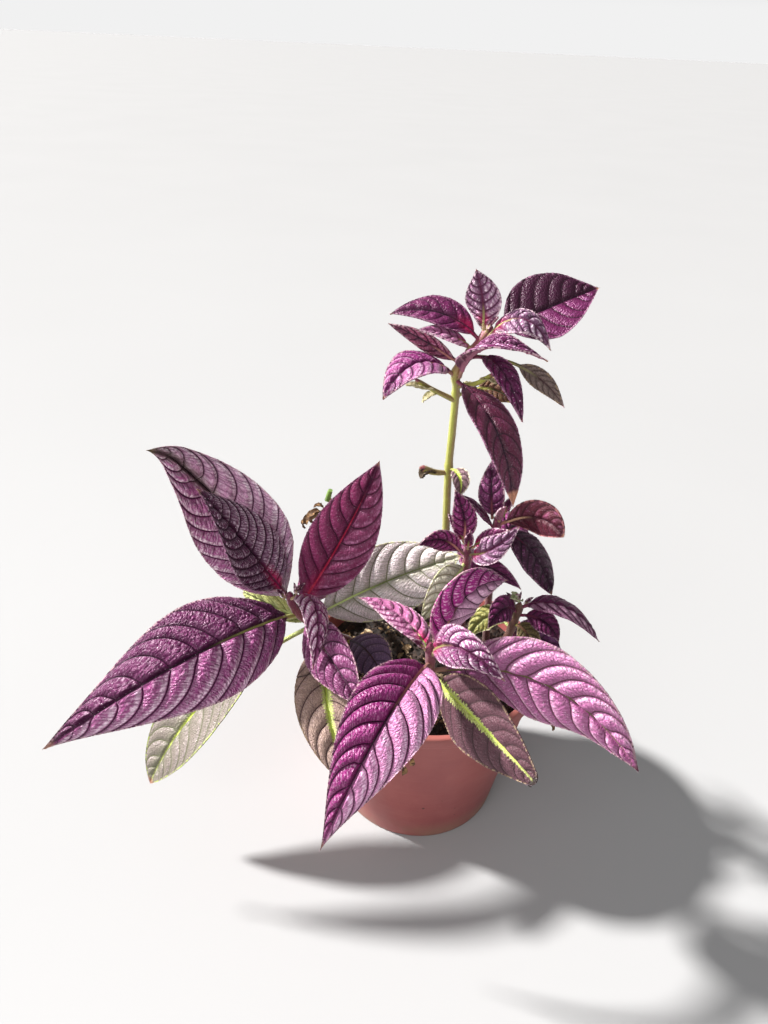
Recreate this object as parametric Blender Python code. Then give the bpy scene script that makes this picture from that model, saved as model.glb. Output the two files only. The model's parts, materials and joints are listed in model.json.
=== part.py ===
"""A persian shield plant growing in a plain nursery pot.

The pot stands on the floor with its middle at the origin, +Z up, and the plant's front faces -Y.
Sizes in the tables are millimetres and degrees, and MM turns them into the metres of the model.
Headings are read on the floor plan: 0 points to +X, 90 to +Y, and 270 to the front.
"""

import math
from dataclasses import dataclass

import bpy
import numpy as np

MM = 0.001
GAP = 0.35
SHARP_ANGLE = 40

POT_HEIGHT = 92.0
POT_BASE_RADIUS = 44.0
POT_RIM_RADIUS = 60.0
POT_WALL = 1.8
POT_LIP_HEIGHT = 7.0
POT_LIP_OUTWARD = 1.6
POT_FLOOR = 2.4
POT_RECESS = 1.6
POT_FOOT_WIDTH = 5.0
POT_PAD_RADIUS = 13.0
POT_SIDES = 44
DRAIN_RADIUS = 3.5
DRAIN_RING_RADIUS = 26.0
DRAIN_COUNT = 5
DRAIN_SIDES = 10

SOIL_TOP = 82.0
SOIL_RING_SHARES = (0.36, 0.70)
SOIL_LUMP = 1.6
STEM_HOLE_DEPTH = 13.0
STEM_HOLE_SIDES = 12

STEM_SIDES = 8
STEM_STEP = 9.0
TWIG_SIDES = 6
STALK_RADIUS = 1.1
BLADE_THICKNESS = 0.95
TIP_HALF_WIDTH = 0.55
FIRST_ROW = 0.012
LAST_ROW = 0.985
RIB_HEIGHT_SHARE = 0.11
VEIN_CURVE = 1.6
MIDRIB_DEPTH = 0.5
VEIN_SWEEP = 0.72
BASE_FULLNESS = 0.74
TIP_SHARPNESS = 1.12
BLADE_COLUMNS = (-1.0, -0.52, 0.0, 0.52, 1.0)
REFERENCE_UP = (0.0, -0.45, 0.89)

COLOURS = {
    "violet": ((0.32, 0.06, 0.26), 0.42, 0.10),
    "plum": ((0.10, 0.02, 0.09), 0.45, 0.08),
    "young": ((0.52, 0.20, 0.42), 0.40, 0.15),
    "silver": ((0.52, 0.56, 0.46), 0.45, 0.12),
    "mauve": ((0.24, 0.13, 0.17), 0.55, 0.05),
    "red": ((0.26, 0.05, 0.09), 0.45, 0.05),
    "olive": ((0.16, 0.14, 0.05), 0.60, 0.00),
    "green stem": ((0.33, 0.38, 0.12), 0.50, 0.00),
    "purple stem": ((0.17, 0.06, 0.09), 0.50, 0.00),
    "dry stem": ((0.30, 0.20, 0.11), 0.80, 0.00),
    "terracotta": ((0.26, 0.085, 0.075), 0.55, 0.00),
    "earth": ((0.035, 0.022, 0.016), 0.95, 0.00),
}


@dataclass
class Stem:
    """A stem stands in its soil hole at the first point and passes through the others."""
    points: list
    bottom_radius: float
    top_radius: float
    colour: str = "purple stem"


@dataclass
class Leaf:
    """A leaf leaves its stem at a height, and its tip lies at a heading, a reach and a climb from there."""
    stem: str
    height: float
    heading: float
    reach: float
    climb: float
    width: float
    arch: float = 5.0
    sway: float = 0.0
    bend: float = 0.5
    roll: float = 0.0
    twist: float = 0.0
    fold: float = 14.0
    curl: float = 0.2
    wave: float = 0.0
    sharpness: float = TIP_SHARPNESS
    stalk: float = 0.06
    colour: str = "violet"


@dataclass
class Twig:
    """A side shoot that is one piece with its stem: its path starts inside the stem."""
    points: list
    bottom_radius: float
    top_radius: float


STEMS = {
    "stem_tall": Stem([(8, 32, 86), (7, 30, 110), (5, 25, 152), (3.5, 20, 186), (3.5, 16, 212),
                       (3.5, 12, 231), (3, 8, 243), (9, 10, 252), (16, 13, 262)], 2.2, 1.5, "green stem"),
    "stem_left": Stem([(-27, 2, 85), (-46, -4, 100), (-61, -9, 113), (-67, -12, 124), (-68, -13, 132)],
                      2.4, 1.8),
    "stem_front": Stem([(3, -20, 86), (3, -34, 104), (3, -42, 118), (2, -43, 135)], 2.4, 1.8),
    "stem_middle": Stem([(18, 10, 86), (17, 8, 120), (16, 4, 150), (16, 2, 161)], 2.2, 1.6),
    "stem_second": Stem([(32, 18, 86), (30, 16, 125), (29, 11, 160), (29, 10, 173)], 2.0, 1.5),
    "stem_right": Stem([(34, -4, 86), (39, -6, 108), (42, -8, 125), (43, -9, 136)], 2.2, 1.6),
    "stem_dried": Stem([(-22, 34, 86), (-32, 34, 112), (-48, 34, 142), (-57, 33, 161)], 2.0, 1.4,
                       "dry stem"),
}

# Side shoots and scraps too small for a piece of their own grow out of a stem.
TWIGS = {
    "stem_tall": [
        Twig([(4, 11, 235), (12, 6, 239), (19, 4, 245)], 1.2, 1.0),
        Twig([(3, 12, 228), (-7, 8, 234), (-15, 4, 240)], 1.3, 0.9),
        Twig([(3, 20, 187), (-3, 16, 189), (-10, 12, 193)], 1.2, 2.0),
    ],
    "stem_dried": [
        Twig([(-53, 34, 153), (-60, 32, 151), (-68, 30, 147)], 0.9, 1.8),
    ],
}

LEAVES = {
    "left_leaf_raised": Leaf("stem_left", 125, 181, 63, 83, 50, arch=-6, sway=-22, bend=0.41, roll=-33,
                             fold=22, curl=0.10, wave=0.8, sharpness=1.0, stalk=0.03),
    "left_leaf_inner": Leaf("stem_left", 131, 205, 36, 64, 34, arch=-1, sway=-7, bend=0.42, roll=12, fold=18,
                            curl=0.15, colour="plum"),
    "left_leaf_upright": Leaf("stem_left", 121, 21, 38, 77, 33, arch=-4, sway=3, roll=26, fold=11,
                              colour="plum"),
    "left_leaf_long": Leaf("stem_left", 119, 212, 122, -39, 47, arch=24, sway=18, bend=0.40, roll=-17, fold=4,
                           curl=0.30, wave=1.6, sharpness=1.2),
    "left_leaf_curled": Leaf("stem_left", 130, 297, 33, -17, 17, arch=13, sway=6, bend=0.38, roll=-45, fold=6,
                             curl=0.25, colour="young"),
    "left_leaf_forward": Leaf("stem_left", 115, 308, 58, -10, 25, arch=7, sway=-3, bend=0.55, roll=35,
                              fold=13),
    "left_leaf_behind": Leaf("stem_left", 108, 157, 45, 2, 15, arch=6, sway=5, bend=0.60, roll=-60,
                             colour="silver"),
    "left_leaf_old": Leaf("stem_left", 110, 215, 88, -68, 38, arch=14, roll=15, twist=-15, fold=14, curl=0.1,
                          sharpness=0.85, stalk=0.22, colour="silver"),
    "left_leaf_hanging": Leaf("stem_left", 103, 289, 72, -32, 31, arch=12, sway=-8, bend=0.55, roll=-10,
                              colour="mauve"),
    "left_leaf_back": Leaf("stem_left", 117, 75, 46, -20, 22, arch=10, roll=5),
    "back_leaf_silver": Leaf("stem_left", 112, 12, 74, 34, 39, arch=-6, sway=12, bend=0.55, roll=40,
                             twist=-12, fold=8, curl=0.17, colour="silver"),
    "left_leaf_shaded": Leaf("stem_left", 96, 305, 42, 1, 22, arch=7, sway=1, roll=5, fold=9,
                             colour="mauve"),

    "front_leaf_long": Leaf("stem_front", 124, 236, 70, -58, 36, arch=33, sway=11, bend=0.36, roll=-8,
                            twist=-10, fold=17, wave=0.8, sharpness=1.3),
    "front_leaf_upper": Leaf("stem_front", 130, 42, 39, 23, 23, arch=20, sway=-4, roll=56, fold=8, curl=0.25),
    "front_leaf_young": Leaf("stem_front", 131, 319, 39, 12, 18, arch=15, sway=-8, bend=0.62, roll=45,
                             fold=10, colour="young"),
    "front_leaf_rear": Leaf("stem_front", 127, 142, 45, 6, 19, arch=1, sway=-6, roll=32, colour="young"),
    "front_leaf_right": Leaf("stem_front", 119, 338, 94, -12, 38, arch=16, sway=6, roll=55, twist=-10,
                             fold=10, wave=0.8),
    "front_leaf_old": Leaf("stem_front", 116, 313, 69, -8, 32, arch=4, sway=-2, roll=50, fold=11, curl=0.15,
                           colour="mauve"),

    "middle_leaf_top": Leaf("stem_middle", 159, 186, 7, 28, 12, arch=2, sway=1, roll=-15),
    "middle_leaf_left": Leaf("stem_middle", 154, 216, 26, 12, 11, arch=4, sway=-2, roll=-60),
    "middle_leaf_young": Leaf("stem_middle", 154, 338, 21, 23, 13, arch=-1, sway=-6, roll=28, colour="young"),
    "middle_leaf_right": Leaf("stem_middle", 143, 328, 28, 3, 12, arch=9, sway=-4, roll=60, colour="plum"),
    "middle_leaf_pale": Leaf("stem_middle", 147, 224, 26, -23, 18, arch=4, sway=3, bend=0.42, roll=-40,
                             colour="silver"),
    "middle_leaf_rear": Leaf("stem_second", 166, 190, 17, 17, 9, arch=1, roll=30, colour="plum"),
    "tall_leaf_small": Leaf("stem_tall", 191, 304, 9, -10, 10, arch=5, fold=32, stalk=0.1, colour="olive"),
    "middle_leaf_back": Leaf("stem_middle", 135, 80, 34, -12, 17, arch=8, roll=10),
    "second_leaf_top": Leaf("stem_second", 171, 107, 9, 26, 13, arch=5, sway=2, roll=-25),
    "second_leaf_red": Leaf("stem_second", 168, 325, 32, 7, 17, arch=4, sway=5, roll=59, fold=6, curl=0.25,
                            sharpness=0.8, colour="red"),
    "second_leaf_dark": Leaf("stem_second", 164, 340, 29, -28, 18, arch=6, bend=0.44, roll=-12, fold=6,
                             curl=0.25, sharpness=0.85, colour="plum"),
    "second_leaf_back": Leaf("stem_second", 150, 60, 36, -8, 18, arch=8, roll=10),
    "right_leaf_rounded": Leaf("stem_right", 132, 227, 19, -1, 13, arch=6, roll=-30, colour="plum"),
    "right_leaf_long": Leaf("stem_right", 134, 356, 38, -15, 18, arch=9, bend=0.42, roll=-35, twist=-8,
                            fold=9, colour="plum"),
    "right_leaf_spiky": Leaf("stem_right", 129, 335, 20, -7, 11, arch=5, roll=25, stalk=0.1, colour="plum"),
    "right_leaf_olive": Leaf("stem_right", 123, 306, 15, -14, 11, arch=6, bend=0.38, roll=25,
                             colour="mauve"),
    "right_leaf_low": Leaf("stem_right", 112, 14, 30, -19, 16, arch=3, sway=6, roll=16, colour="plum"),
    "right_leaf_faded": Leaf("stem_right", 119, 180, 19, -13, 13, arch=4, sway=-6, bend=0.42, roll=-12,
                             colour="silver"),

    "top_leaf_large": Leaf("stem_tall", 260, 21, 46, 18, 32, arch=1, roll=12, fold=16, curl=0.08,
                           stalk=0.12, colour="plum"),
    "top_leaf_upright": Leaf("stem_tall", 260, 197, 6, 24, 15, arch=1, roll=-40, fold=6, curl=0.25,
                             colour="young"),
    "top_leaf_left": Leaf("stem_tall", 256, 179, 37, 7, 16, arch=6, roll=-4, fold=18, curl=0.13,
                          colour="plum"),
    "top_leaf_pink": Leaf("stem_tall", 252, 203, 24, 9, 11, arch=2, roll=11, colour="young"),
    "top_leaf_young": Leaf("stem_tall", 259, 344, 26, -2, 13, arch=11, sway=-3, roll=5, fold=4, curl=0.3,
                           colour="young"),
    "top_leaf_arched": Leaf("stem_tall", 243, 340, 36, 13, 18, arch=12, sway=-8, roll=-25, fold=18, curl=0.1),
    "top_leaf_side": Leaf("stem_tall", 242, 222, 36, -4, 22, arch=9, sway=-2, roll=16, twist=-6, fold=13),
    "top_leaf_narrow": Leaf("stem_tall", 246, 177, 30, 14, 9, arch=1, roll=-80),
    "top_leaf_hanging": Leaf("stem_tall", 250, 316, 31, -18, 14, arch=8, bend=0.40, roll=-21, fold=17,
                             stalk=0.2, colour="plum"),
    "top_leaf_shaded": Leaf("stem_tall", 251, 349, 40, -17, 9, arch=5, sway=3, roll=62, stalk=0.42,
                            colour="mauve"),
    "top_leaf_olive": Leaf("stem_tall", 231, 345, 24, 0, 11, arch=4, sway=2, roll=40, stalk=0.3,
                           colour="olive"),
    "top_leaf_drooping": Leaf("stem_tall", 239, 309, 43, -40, 22, arch=10, roll=-22, twist=-3, fold=18,
                              colour="plum"),
    "back_leaf_left": Leaf("stem_dried", 104, 150, 44, -6, 22, arch=10),
    "back_leaf_right": Leaf("stem_dried", 100, 40, 46, -10, 22, arch=10),
}


def clear_scene():
    for item in list(bpy.data.objects):
        bpy.data.objects.remove(item, do_unlink=True)


def make_material(name):
    colour, roughness, metallic = COLOURS[name]
    material = bpy.data.materials.new(name)
    material.use_nodes = True
    shader = material.node_tree.nodes["Principled BSDF"]
    shader.inputs["Base Color"].default_value = (*colour, 1.0)
    shader.inputs["Roughness"].default_value = roughness
    shader.inputs["Metallic"].default_value = metallic
    return material


def make_object(name, vertices, faces, material):
    mesh = bpy.data.meshes.new(name)
    mesh.from_pydata([tuple(float(value) * MM for value in vertex) for vertex in vertices], [], faces)
    mesh.validate()
    mesh.update()
    mesh.shade_smooth()
    mesh.set_sharp_from_angle(angle=math.radians(SHARP_ANGLE))
    mesh.materials.append(material)
    item = bpy.data.objects.new(name, mesh)
    bpy.context.scene.collection.objects.link(item)
    return item


def apply_modifiers(item):
    graph = bpy.context.evaluated_depsgraph_get()
    mesh = bpy.data.meshes.new_from_object(item.evaluated_get(graph))
    item.modifiers.clear()
    item.data = mesh


def boolean_with_parts(item, parts, operation):
    """Join the parts to the item, or cut them out of it, and remove them."""
    collection = bpy.data.collections.new("parts of " + item.name)
    bpy.context.scene.collection.children.link(collection)
    for part in parts:
        bpy.context.scene.collection.objects.unlink(part)
        collection.objects.link(part)
    step = item.modifiers.new(operation.lower(), "BOOLEAN")
    step.operation = operation
    step.solver = "EXACT"
    step.operand_type = "COLLECTION"
    step.collection = collection
    apply_modifiers(item)
    for part in parts:
        bpy.data.objects.remove(part, do_unlink=True)
    bpy.data.collections.remove(collection)


def unit(vectors):
    vectors = np.asarray(vectors, float)
    lengths = np.linalg.norm(vectors, axis=-1, keepdims=True)
    return vectors / np.maximum(lengths, 1e-9)


def rounded_path(points, step):
    """Sample a Catmull-Rom curve through the points, about one sample per step."""
    points = np.array(points, float)
    ends = np.vstack([2 * points[0] - points[1], points, 2 * points[-1] - points[-2]])
    samples = []
    for index in range(len(points) - 1):
        before, start, end, after = ends[index:index + 4]
        count = max(1, round(np.linalg.norm(end - start) / step))
        for share in np.arange(count) / count:
            samples.append(0.5 * (2 * start + (end - before) * share
                                  + (2 * before - 5 * start + 4 * end - after) * share ** 2
                                  + (3 * start - before - 3 * end + after) * share ** 3))
    samples.append(points[-1])
    return np.array(samples)


def tube(path, radii, sides):
    """Closed tube round a path, with flat ends."""
    directions = unit(np.gradient(path, axis=0))
    across = unit(np.cross(directions, (0.25, 1.0, 0.1)))
    outward = np.cross(across, directions)
    angles = np.arange(sides) * 2 * math.pi / sides
    rings = (path[:, None]
             + radii[:, None, None] * (across[:, None] * np.cos(angles)[None, :, None]
                                       - outward[:, None] * np.sin(angles)[None, :, None]))
    faces = []
    for ring in range(len(path) - 1):
        for side in range(sides):
            after = (side + 1) % sides
            low = ring * sides
            high = low + sides
            faces.append((low + side, low + after, high + after, high + side))
    faces.append(tuple(reversed(range(sides))))
    last = (len(path) - 1) * sides
    faces.append(tuple(last + side for side in range(sides)))
    return rings.reshape(-1, 3), faces


def stem_path(stem):
    """The stem's path, straight down into its soil hole and rounded above it."""
    x, y, _ = stem.points[0]
    foot = (x, y, SOIL_TOP - STEM_HOLE_DEPTH + 1.0)
    return np.vstack([foot, rounded_path(stem.points, STEM_STEP)])


def stem_radii(stem, path):
    share = (path[:, 2] - path[0, 2]) / (path[-1, 2] - path[0, 2])
    return stem.bottom_radius + (stem.top_radius - stem.bottom_radius) * share


def stem_at(stem, height):
    """Centre, direction and radius of a stem at a height."""
    path = stem_path(stem)
    index = int(np.clip(np.searchsorted(path[:, 2], height) - 1, 0, len(path) - 2))
    share = (height - path[index, 2]) / (path[index + 1, 2] - path[index, 2])
    centre = path[index] + share * (path[index + 1] - path[index])
    radii = stem_radii(stem, path)
    radius = radii[index] + share * (radii[index + 1] - radii[index])
    return centre, unit(path[index + 1] - path[index]), radius


def leaf_points(leaf):
    """Root, middle and tip of the midrib."""
    centre, direction, radius = stem_at(STEMS[leaf.stem], leaf.height)
    heading = math.radians(leaf.heading)
    forward = np.array([math.cos(heading), math.sin(heading), 0.0])
    side = np.array([-math.sin(heading), math.cos(heading), 0.0])
    chord = leaf.reach * forward + np.array([0.0, 0.0, leaf.climb])
    above = np.cross(unit(chord), side)
    start = unit(leaf.bend * chord + leaf.arch * above + leaf.sway * side)
    lean = abs(start @ direction)
    outward = unit(start - (start @ direction) * direction)
    root = centre + outward * (radius + GAP + STALK_RADIUS * lean)
    middle = root + leaf.bend * chord + leaf.arch * above + leaf.sway * side
    return root, middle, root + chord


def leaf_frame(leaf, along):
    """Points on the midrib with its direction, the way across and the way up from the blade."""
    root, middle, tip = leaf_points(leaf)
    control = 2 * middle - (root + tip) / 2
    share = np.asarray(along, float)[..., None]
    centre = (1 - share) ** 2 * root + 2 * share * (1 - share) * control + share ** 2 * tip
    direction = unit((1 - share) * (control - root) + share * (tip - control))
    reference = unit(REFERENCE_UP)
    up = unit(reference - (direction @ reference)[..., None] * direction)
    across = np.cross(direction, up)
    angle = np.radians(leaf.roll + leaf.twist * (share - 0.5))
    return centre, across * np.cos(angle) - up * np.sin(angle), up * np.cos(angle) + across * np.sin(angle)


def leaf_length(leaf):
    root, middle, tip = leaf_points(leaf)
    return np.linalg.norm(middle - root) + np.linalg.norm(tip - middle)


def vein_count(leaf):
    """Side veins on each half of the blade."""
    return int(np.clip(round(2.0 + leaf_length(leaf) / 20), 3, 8))


def half_width(leaf, along):
    """Half of the blade's width: widest near two fifths, drawn out to a point."""
    widest = BASE_FULLNESS / (BASE_FULLNESS + leaf.sharpness)
    along = np.clip(along, 0.0, 1.0)
    shape = (along / widest) ** BASE_FULLNESS * ((1 - along) / (1 - widest)) ** leaf.sharpness
    return leaf.width / 2 * shape


def blade_surface(leaf, along, across):
    """Middle surface of the blade: folded on the midrib, curled, and raised between the side veins."""
    centre, sideways, upward = leaf_frame(leaf, leaf.stalk + (1 - leaf.stalk) * along)
    half = np.maximum(half_width(leaf, along), TIP_HALF_WIDTH)
    outward = np.abs(across)
    fold = math.radians(leaf.fold)
    veins = vein_count(leaf)
    rib_height = RIB_HEIGHT_SHARE * leaf_length(leaf) / veins
    phase = veins * (along - VEIN_SWEEP * along * (1 - along) * outward ** VEIN_CURVE)
    envelope = np.clip(outward / 0.25, 0, 1) * (1 - 0.55 * outward ** 4)
    envelope = envelope * np.clip(along / 0.08, 0, 1) * np.clip((1 - along) / 0.12, 0, 1)
    lift = half * outward * math.sin(fold) - leaf.curl * half * outward ** 2
    lift = lift + rib_height * envelope * (0.5 - 0.5 * np.cos(2 * math.pi * phase))
    lift = lift + leaf.wave * outward ** 3 * np.sin(4 * math.pi * along + 1.7 * (across > 0))
    surface = centre + sideways * (half * across * math.cos(fold))[..., None] + upward * lift[..., None]
    return surface, upward


def leaf_rings(leaf):
    """Upper and lower points of the leaf, row by row: two rows on the stalk, then the blade."""
    columns = np.array(BLADE_COLUMNS)
    bow = np.sin(columns * math.pi / 2)
    rows_above = []
    rows_below = []
    for along in (0.0, leaf.stalk / 2):
        centre, sideways, upward = leaf_frame(leaf, np.full(len(columns), along))
        edge = centre + sideways * (STALK_RADIUS * bow)[:, None]
        thickness = upward * (STALK_RADIUS * (1 - 0.6 * bow ** 2))[:, None]
        rows_above.append(edge + thickness)
        rows_below.append(edge - thickness)
    rows = 2 * vein_count(leaf)
    for row in range(rows + 1):
        share = row / rows
        along = np.minimum(share + VEIN_SWEEP * share * (1 - share) * np.abs(columns) ** VEIN_CURVE, LAST_ROW)
        if row == 0:
            along = np.full(len(columns), FIRST_ROW)
        surface, upward = blade_surface(leaf, along, columns)
        rib = MIDRIB_DEPTH * (1 - np.abs(columns)) ** 2 * (1 - share)
        rows_above.append(surface + upward * BLADE_THICKNESS / 2)
        rows_below.append(surface - upward * (BLADE_THICKNESS / 2 + rib)[:, None])
    return np.array(rows_above), np.array(rows_below)


def leaf_mesh(leaf):
    """Closed solid of a leaf, split into triangles alike on its two faces."""
    above, below = leaf_rings(leaf)
    rows, columns = above.shape[:2]
    vertices = np.vstack([above.reshape(-1, 3), below.reshape(-1, 3)])
    count = rows * columns
    faces = []
    for row in range(rows - 1):
        for column in range(columns - 1):
            a = row * columns + column
            b = a + 1
            c = a + columns + 1
            d = a + columns
            if column < (columns - 1) / 2:
                corners = ((a, b, d), (b, c, d))
            else:
                corners = ((a, b, c), (a, c, d))
            for triangle in corners:
                faces.append(triangle)
                faces.append(tuple(corner + count for corner in reversed(triangle)))
        left = row * columns
        right = left + columns - 1
        faces.append((left, left + columns, left + columns + count, left + count))
        faces.append((right + columns, right, right + count, right + columns + count))
    last = (rows - 1) * columns
    for column in range(columns - 1):
        faces.append((column + 1, column, column + count, column + 1 + count))
        tip = last + column
        faces.append((tip, tip + 1, tip + 1 + count, tip + count))
    return vertices, faces


def make_leaf(name, materials):
    leaf = LEAVES[name]
    vertices, faces = leaf_mesh(leaf)
    return make_object(name, vertices, faces, materials[leaf.colour])


def make_stem(name, materials):
    stem = STEMS[name]
    path = stem_path(stem)
    item = make_object(name, *tube(path, stem_radii(stem, path), STEM_SIDES), materials[stem.colour])
    shoots = []
    for number, twig in enumerate(TWIGS.get(name, [])):
        twig_path = rounded_path(twig.points, STEM_STEP)
        radii = np.linspace(twig.bottom_radius, twig.top_radius, len(twig_path))
        shape = tube(twig_path, radii, TWIG_SIDES)
        shoots.append(make_object(f"shoot {number}", *shape, materials[stem.colour]))
    if shoots:
        boolean_with_parts(item, shoots, "UNION")
    return item


def turned(profile, sides):
    """Turn a closed outline of radius and height round the Z axis; a radius of 0 is one point."""
    vertices = []
    rings = []
    for radius, height in profile:
        if radius == 0:
            rings.append([len(vertices)] * sides)
            vertices.append((0.0, 0.0, height))
            continue
        rings.append([len(vertices) + side for side in range(sides)])
        for side in range(sides):
            angle = 2 * math.pi * side / sides
            vertices.append((radius * math.cos(angle), radius * math.sin(angle), height))
    faces = []
    for low, high in zip(rings, rings[1:]):
        for side in range(sides):
            after = (side + 1) % sides
            corners = (low[side], low[after], high[after], high[side])
            faces.append(tuple(dict.fromkeys(corners)))
    return vertices, faces


def pot_radius(height):
    """Outer radius of the tapered wall at a height."""
    top = POT_RIM_RADIUS - POT_LIP_OUTWARD
    return POT_BASE_RADIUS + (top - POT_BASE_RADIUS) * height / POT_HEIGHT


def make_pot(materials):
    lip = POT_HEIGHT - POT_LIP_HEIGHT
    foot_inner = POT_BASE_RADIUS - POT_FOOT_WIDTH
    floor_top = POT_RECESS + POT_FLOOR
    profile = [
        (0.0, 0.0), (POT_PAD_RADIUS, 0.0), (POT_PAD_RADIUS + POT_RECESS, POT_RECESS),
        (foot_inner - POT_RECESS, POT_RECESS), (foot_inner, 0.0), (POT_BASE_RADIUS, 0.0),
        (pot_radius(lip), lip), (POT_RIM_RADIUS, lip + POT_LIP_OUTWARD), (POT_RIM_RADIUS, POT_HEIGHT),
        (POT_RIM_RADIUS - 2 * POT_WALL, POT_HEIGHT), (pot_radius(lip) - POT_WALL, lip - POT_WALL),
        (pot_radius(floor_top) - POT_WALL, floor_top), (0.0, floor_top),
    ]
    pot = make_object("pot", *turned(profile, POT_SIDES), materials["terracotta"])
    cutters = []
    for number in range(DRAIN_COUNT):
        angle = 2 * math.pi * number / DRAIN_COUNT
        x = DRAIN_RING_RADIUS * math.cos(angle)
        y = DRAIN_RING_RADIUS * math.sin(angle)
        path = np.array([(x, y, -2.0), (x, y, floor_top + 2.0)])
        radii = np.full(2, DRAIN_RADIUS)
        shape = tube(path, radii, DRAIN_SIDES)
        cutters.append(make_object(f"drain {number}", *shape, materials["terracotta"]))
    boolean_with_parts(pot, cutters, "DIFFERENCE")
    return pot


def soil_height(x, y):
    """Uneven top of the soil, level at the pot's wall."""
    lumps = math.sin(0.13 * x + 1.0) * math.cos(0.11 * y) + 0.6 * math.sin(0.21 * y - 0.16 * x)
    return SOIL_TOP + SOIL_LUMP * lumps


def make_soil(materials):
    floor_top = POT_RECESS + POT_FLOOR + GAP
    lip = POT_HEIGHT - POT_LIP_HEIGHT - POT_WALL
    clearance = POT_WALL + 2 * GAP
    top_radius = pot_radius(min(SOIL_TOP, lip)) - clearance
    profile = [(0.0, floor_top), (pot_radius(floor_top) - clearance, floor_top), (top_radius, SOIL_TOP)]
    for share in reversed(SOIL_RING_SHARES):
        profile.append((top_radius * share, SOIL_TOP))
    profile.append((0.0, SOIL_TOP))
    vertices, faces = turned(profile, POT_SIDES // 2)
    shaped = []
    for x, y, z in vertices:
        inside = math.hypot(x, y) < top_radius - 1.0
        shaped.append((x, y, soil_height(x, y) if inside and z == SOIL_TOP else z))
    soil = make_object("soil", shaped, faces, materials["earth"])
    cutters = []
    for name, stem in STEMS.items():
        x, y, _ = stem.points[0]
        path = np.array([(x, y, SOIL_TOP - STEM_HOLE_DEPTH), (x, y, SOIL_TOP + 3 * SOIL_LUMP)])
        radii = np.full(2, stem.bottom_radius + 2 * GAP)
        cutters.append(make_object("hole " + name, *tube(path, radii, STEM_HOLE_SIDES), materials["earth"]))
    boolean_with_parts(soil, cutters, "DIFFERENCE")
    return soil


def build():
    clear_scene()
    materials = {name: make_material(name) for name in COLOURS}
    make_pot(materials)
    make_soil(materials)
    for name in STEMS:
        make_stem(name, materials)
    for name in LEAVES:
        make_leaf(name, materials)


build()
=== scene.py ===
"""Looks of the persian shield plant: veined leaves, stems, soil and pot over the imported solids.

Lengths are in millimetres and angles in degrees, in the frame of the solids: +Z up, the origin under the
middle of the pot, and the plant's front towards -Y. Colours are screen values from 0 to 255.
"""

import json
import math
from dataclasses import dataclass, replace

import bpy
import numpy as np
from mathutils import Matrix, Vector, noise

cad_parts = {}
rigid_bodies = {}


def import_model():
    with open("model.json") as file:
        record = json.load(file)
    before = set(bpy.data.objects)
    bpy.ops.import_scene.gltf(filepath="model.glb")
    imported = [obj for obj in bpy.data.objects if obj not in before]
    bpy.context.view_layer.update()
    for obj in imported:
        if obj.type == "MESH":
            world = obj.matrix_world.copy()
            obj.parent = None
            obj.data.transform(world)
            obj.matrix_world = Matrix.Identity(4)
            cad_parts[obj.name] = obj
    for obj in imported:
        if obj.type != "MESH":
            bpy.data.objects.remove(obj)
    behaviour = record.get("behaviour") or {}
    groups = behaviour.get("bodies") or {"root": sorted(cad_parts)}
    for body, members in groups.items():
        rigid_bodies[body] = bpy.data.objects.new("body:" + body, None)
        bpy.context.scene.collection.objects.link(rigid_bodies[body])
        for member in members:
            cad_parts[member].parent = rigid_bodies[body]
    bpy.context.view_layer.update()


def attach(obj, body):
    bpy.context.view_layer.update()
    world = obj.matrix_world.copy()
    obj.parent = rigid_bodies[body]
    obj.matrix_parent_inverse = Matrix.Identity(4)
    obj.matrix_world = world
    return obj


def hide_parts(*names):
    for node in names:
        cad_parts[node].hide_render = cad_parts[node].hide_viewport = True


MM = 0.001
GAP = 0.35

CAMERA_PLACE = (0.0, -305.0, 363.0)
CAMERA_YAW = -4.65
CAMERA_PITCH = 31.65
CAMERA_ROLL = 2.55
FOCAL_PIXELS = 770.0
PICTURE_HEIGHT = 1024
SENSOR = 36.0

POT_HEIGHT = 92.0
POT_BASE_RADIUS = 44.0
POT_RIM_RADIUS = 60.0
POT_WALL = 1.8
POT_LIP_HEIGHT = 7.0
POT_LIP_OUTWARD = 1.6
POT_FLOOR = 2.4
POT_RECESS = 1.6
POT_FOOT_WIDTH = 5.0
POT_PAD_RADIUS = 13.0
POT_SIDES = 160
DRAIN_RADIUS = 3.5
DRAIN_RING_RADIUS = 26.0
DRAIN_COUNT = 5
DRAIN_SIDES = 32

SOIL_TOP = 82.0
SOIL_LUMP = 1.6
SOIL_RINGS = 78
SOIL_SIDES = 200
STEM_HOLE_DEPTH = 13.0
STRIP_COUNT = 46
STRIPS_WITHIN = 50
# Lowest and highest heading, climb, length, width and curl of a strip on the soil.
STRIP_LIMITS = ((0, 360), (0, 22), (4, 10), (1.6, 3.6), (0.2, 0.9))

STALK_RADIUS = 1.1
STEM_STEP = 1.6
STEM_SIDES = 20
BASE_FULLNESS = 0.74
TIP_SHARPNESS = 1.12
REFERENCE_UP = (0.0, -0.45, 0.89)

VEIN_SWEEP = 0.62
VEIN_LEAN = 0.42
VEIN_JITTER = 0.10
VEIN_SHIFT = 0.16
# Where rows of points lie between two side veins.
ROW_SHARES = (0.0, 0.05, 0.16, 0.32, 0.50, 0.68, 0.84, 0.95)
FIRST_ROW_SHARES = (0.0, 0.01, 0.03, 0.06, 0.12, 0.22, 0.36, 0.52, 0.70, 0.86, 0.96)
BUD_ROW_SHARES = (0.0, 0.2, 0.5, 0.8)
BUD_COLUMNS = 15
RIB_HEIGHT = 0.32
RIB_ROUNDNESS = 2.0
TOP_OFFSET = 0.28
BOTTOM_OFFSET = 0.18
TIP_HALF_WIDTH = 0.14
TOOTH = 0.16
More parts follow.
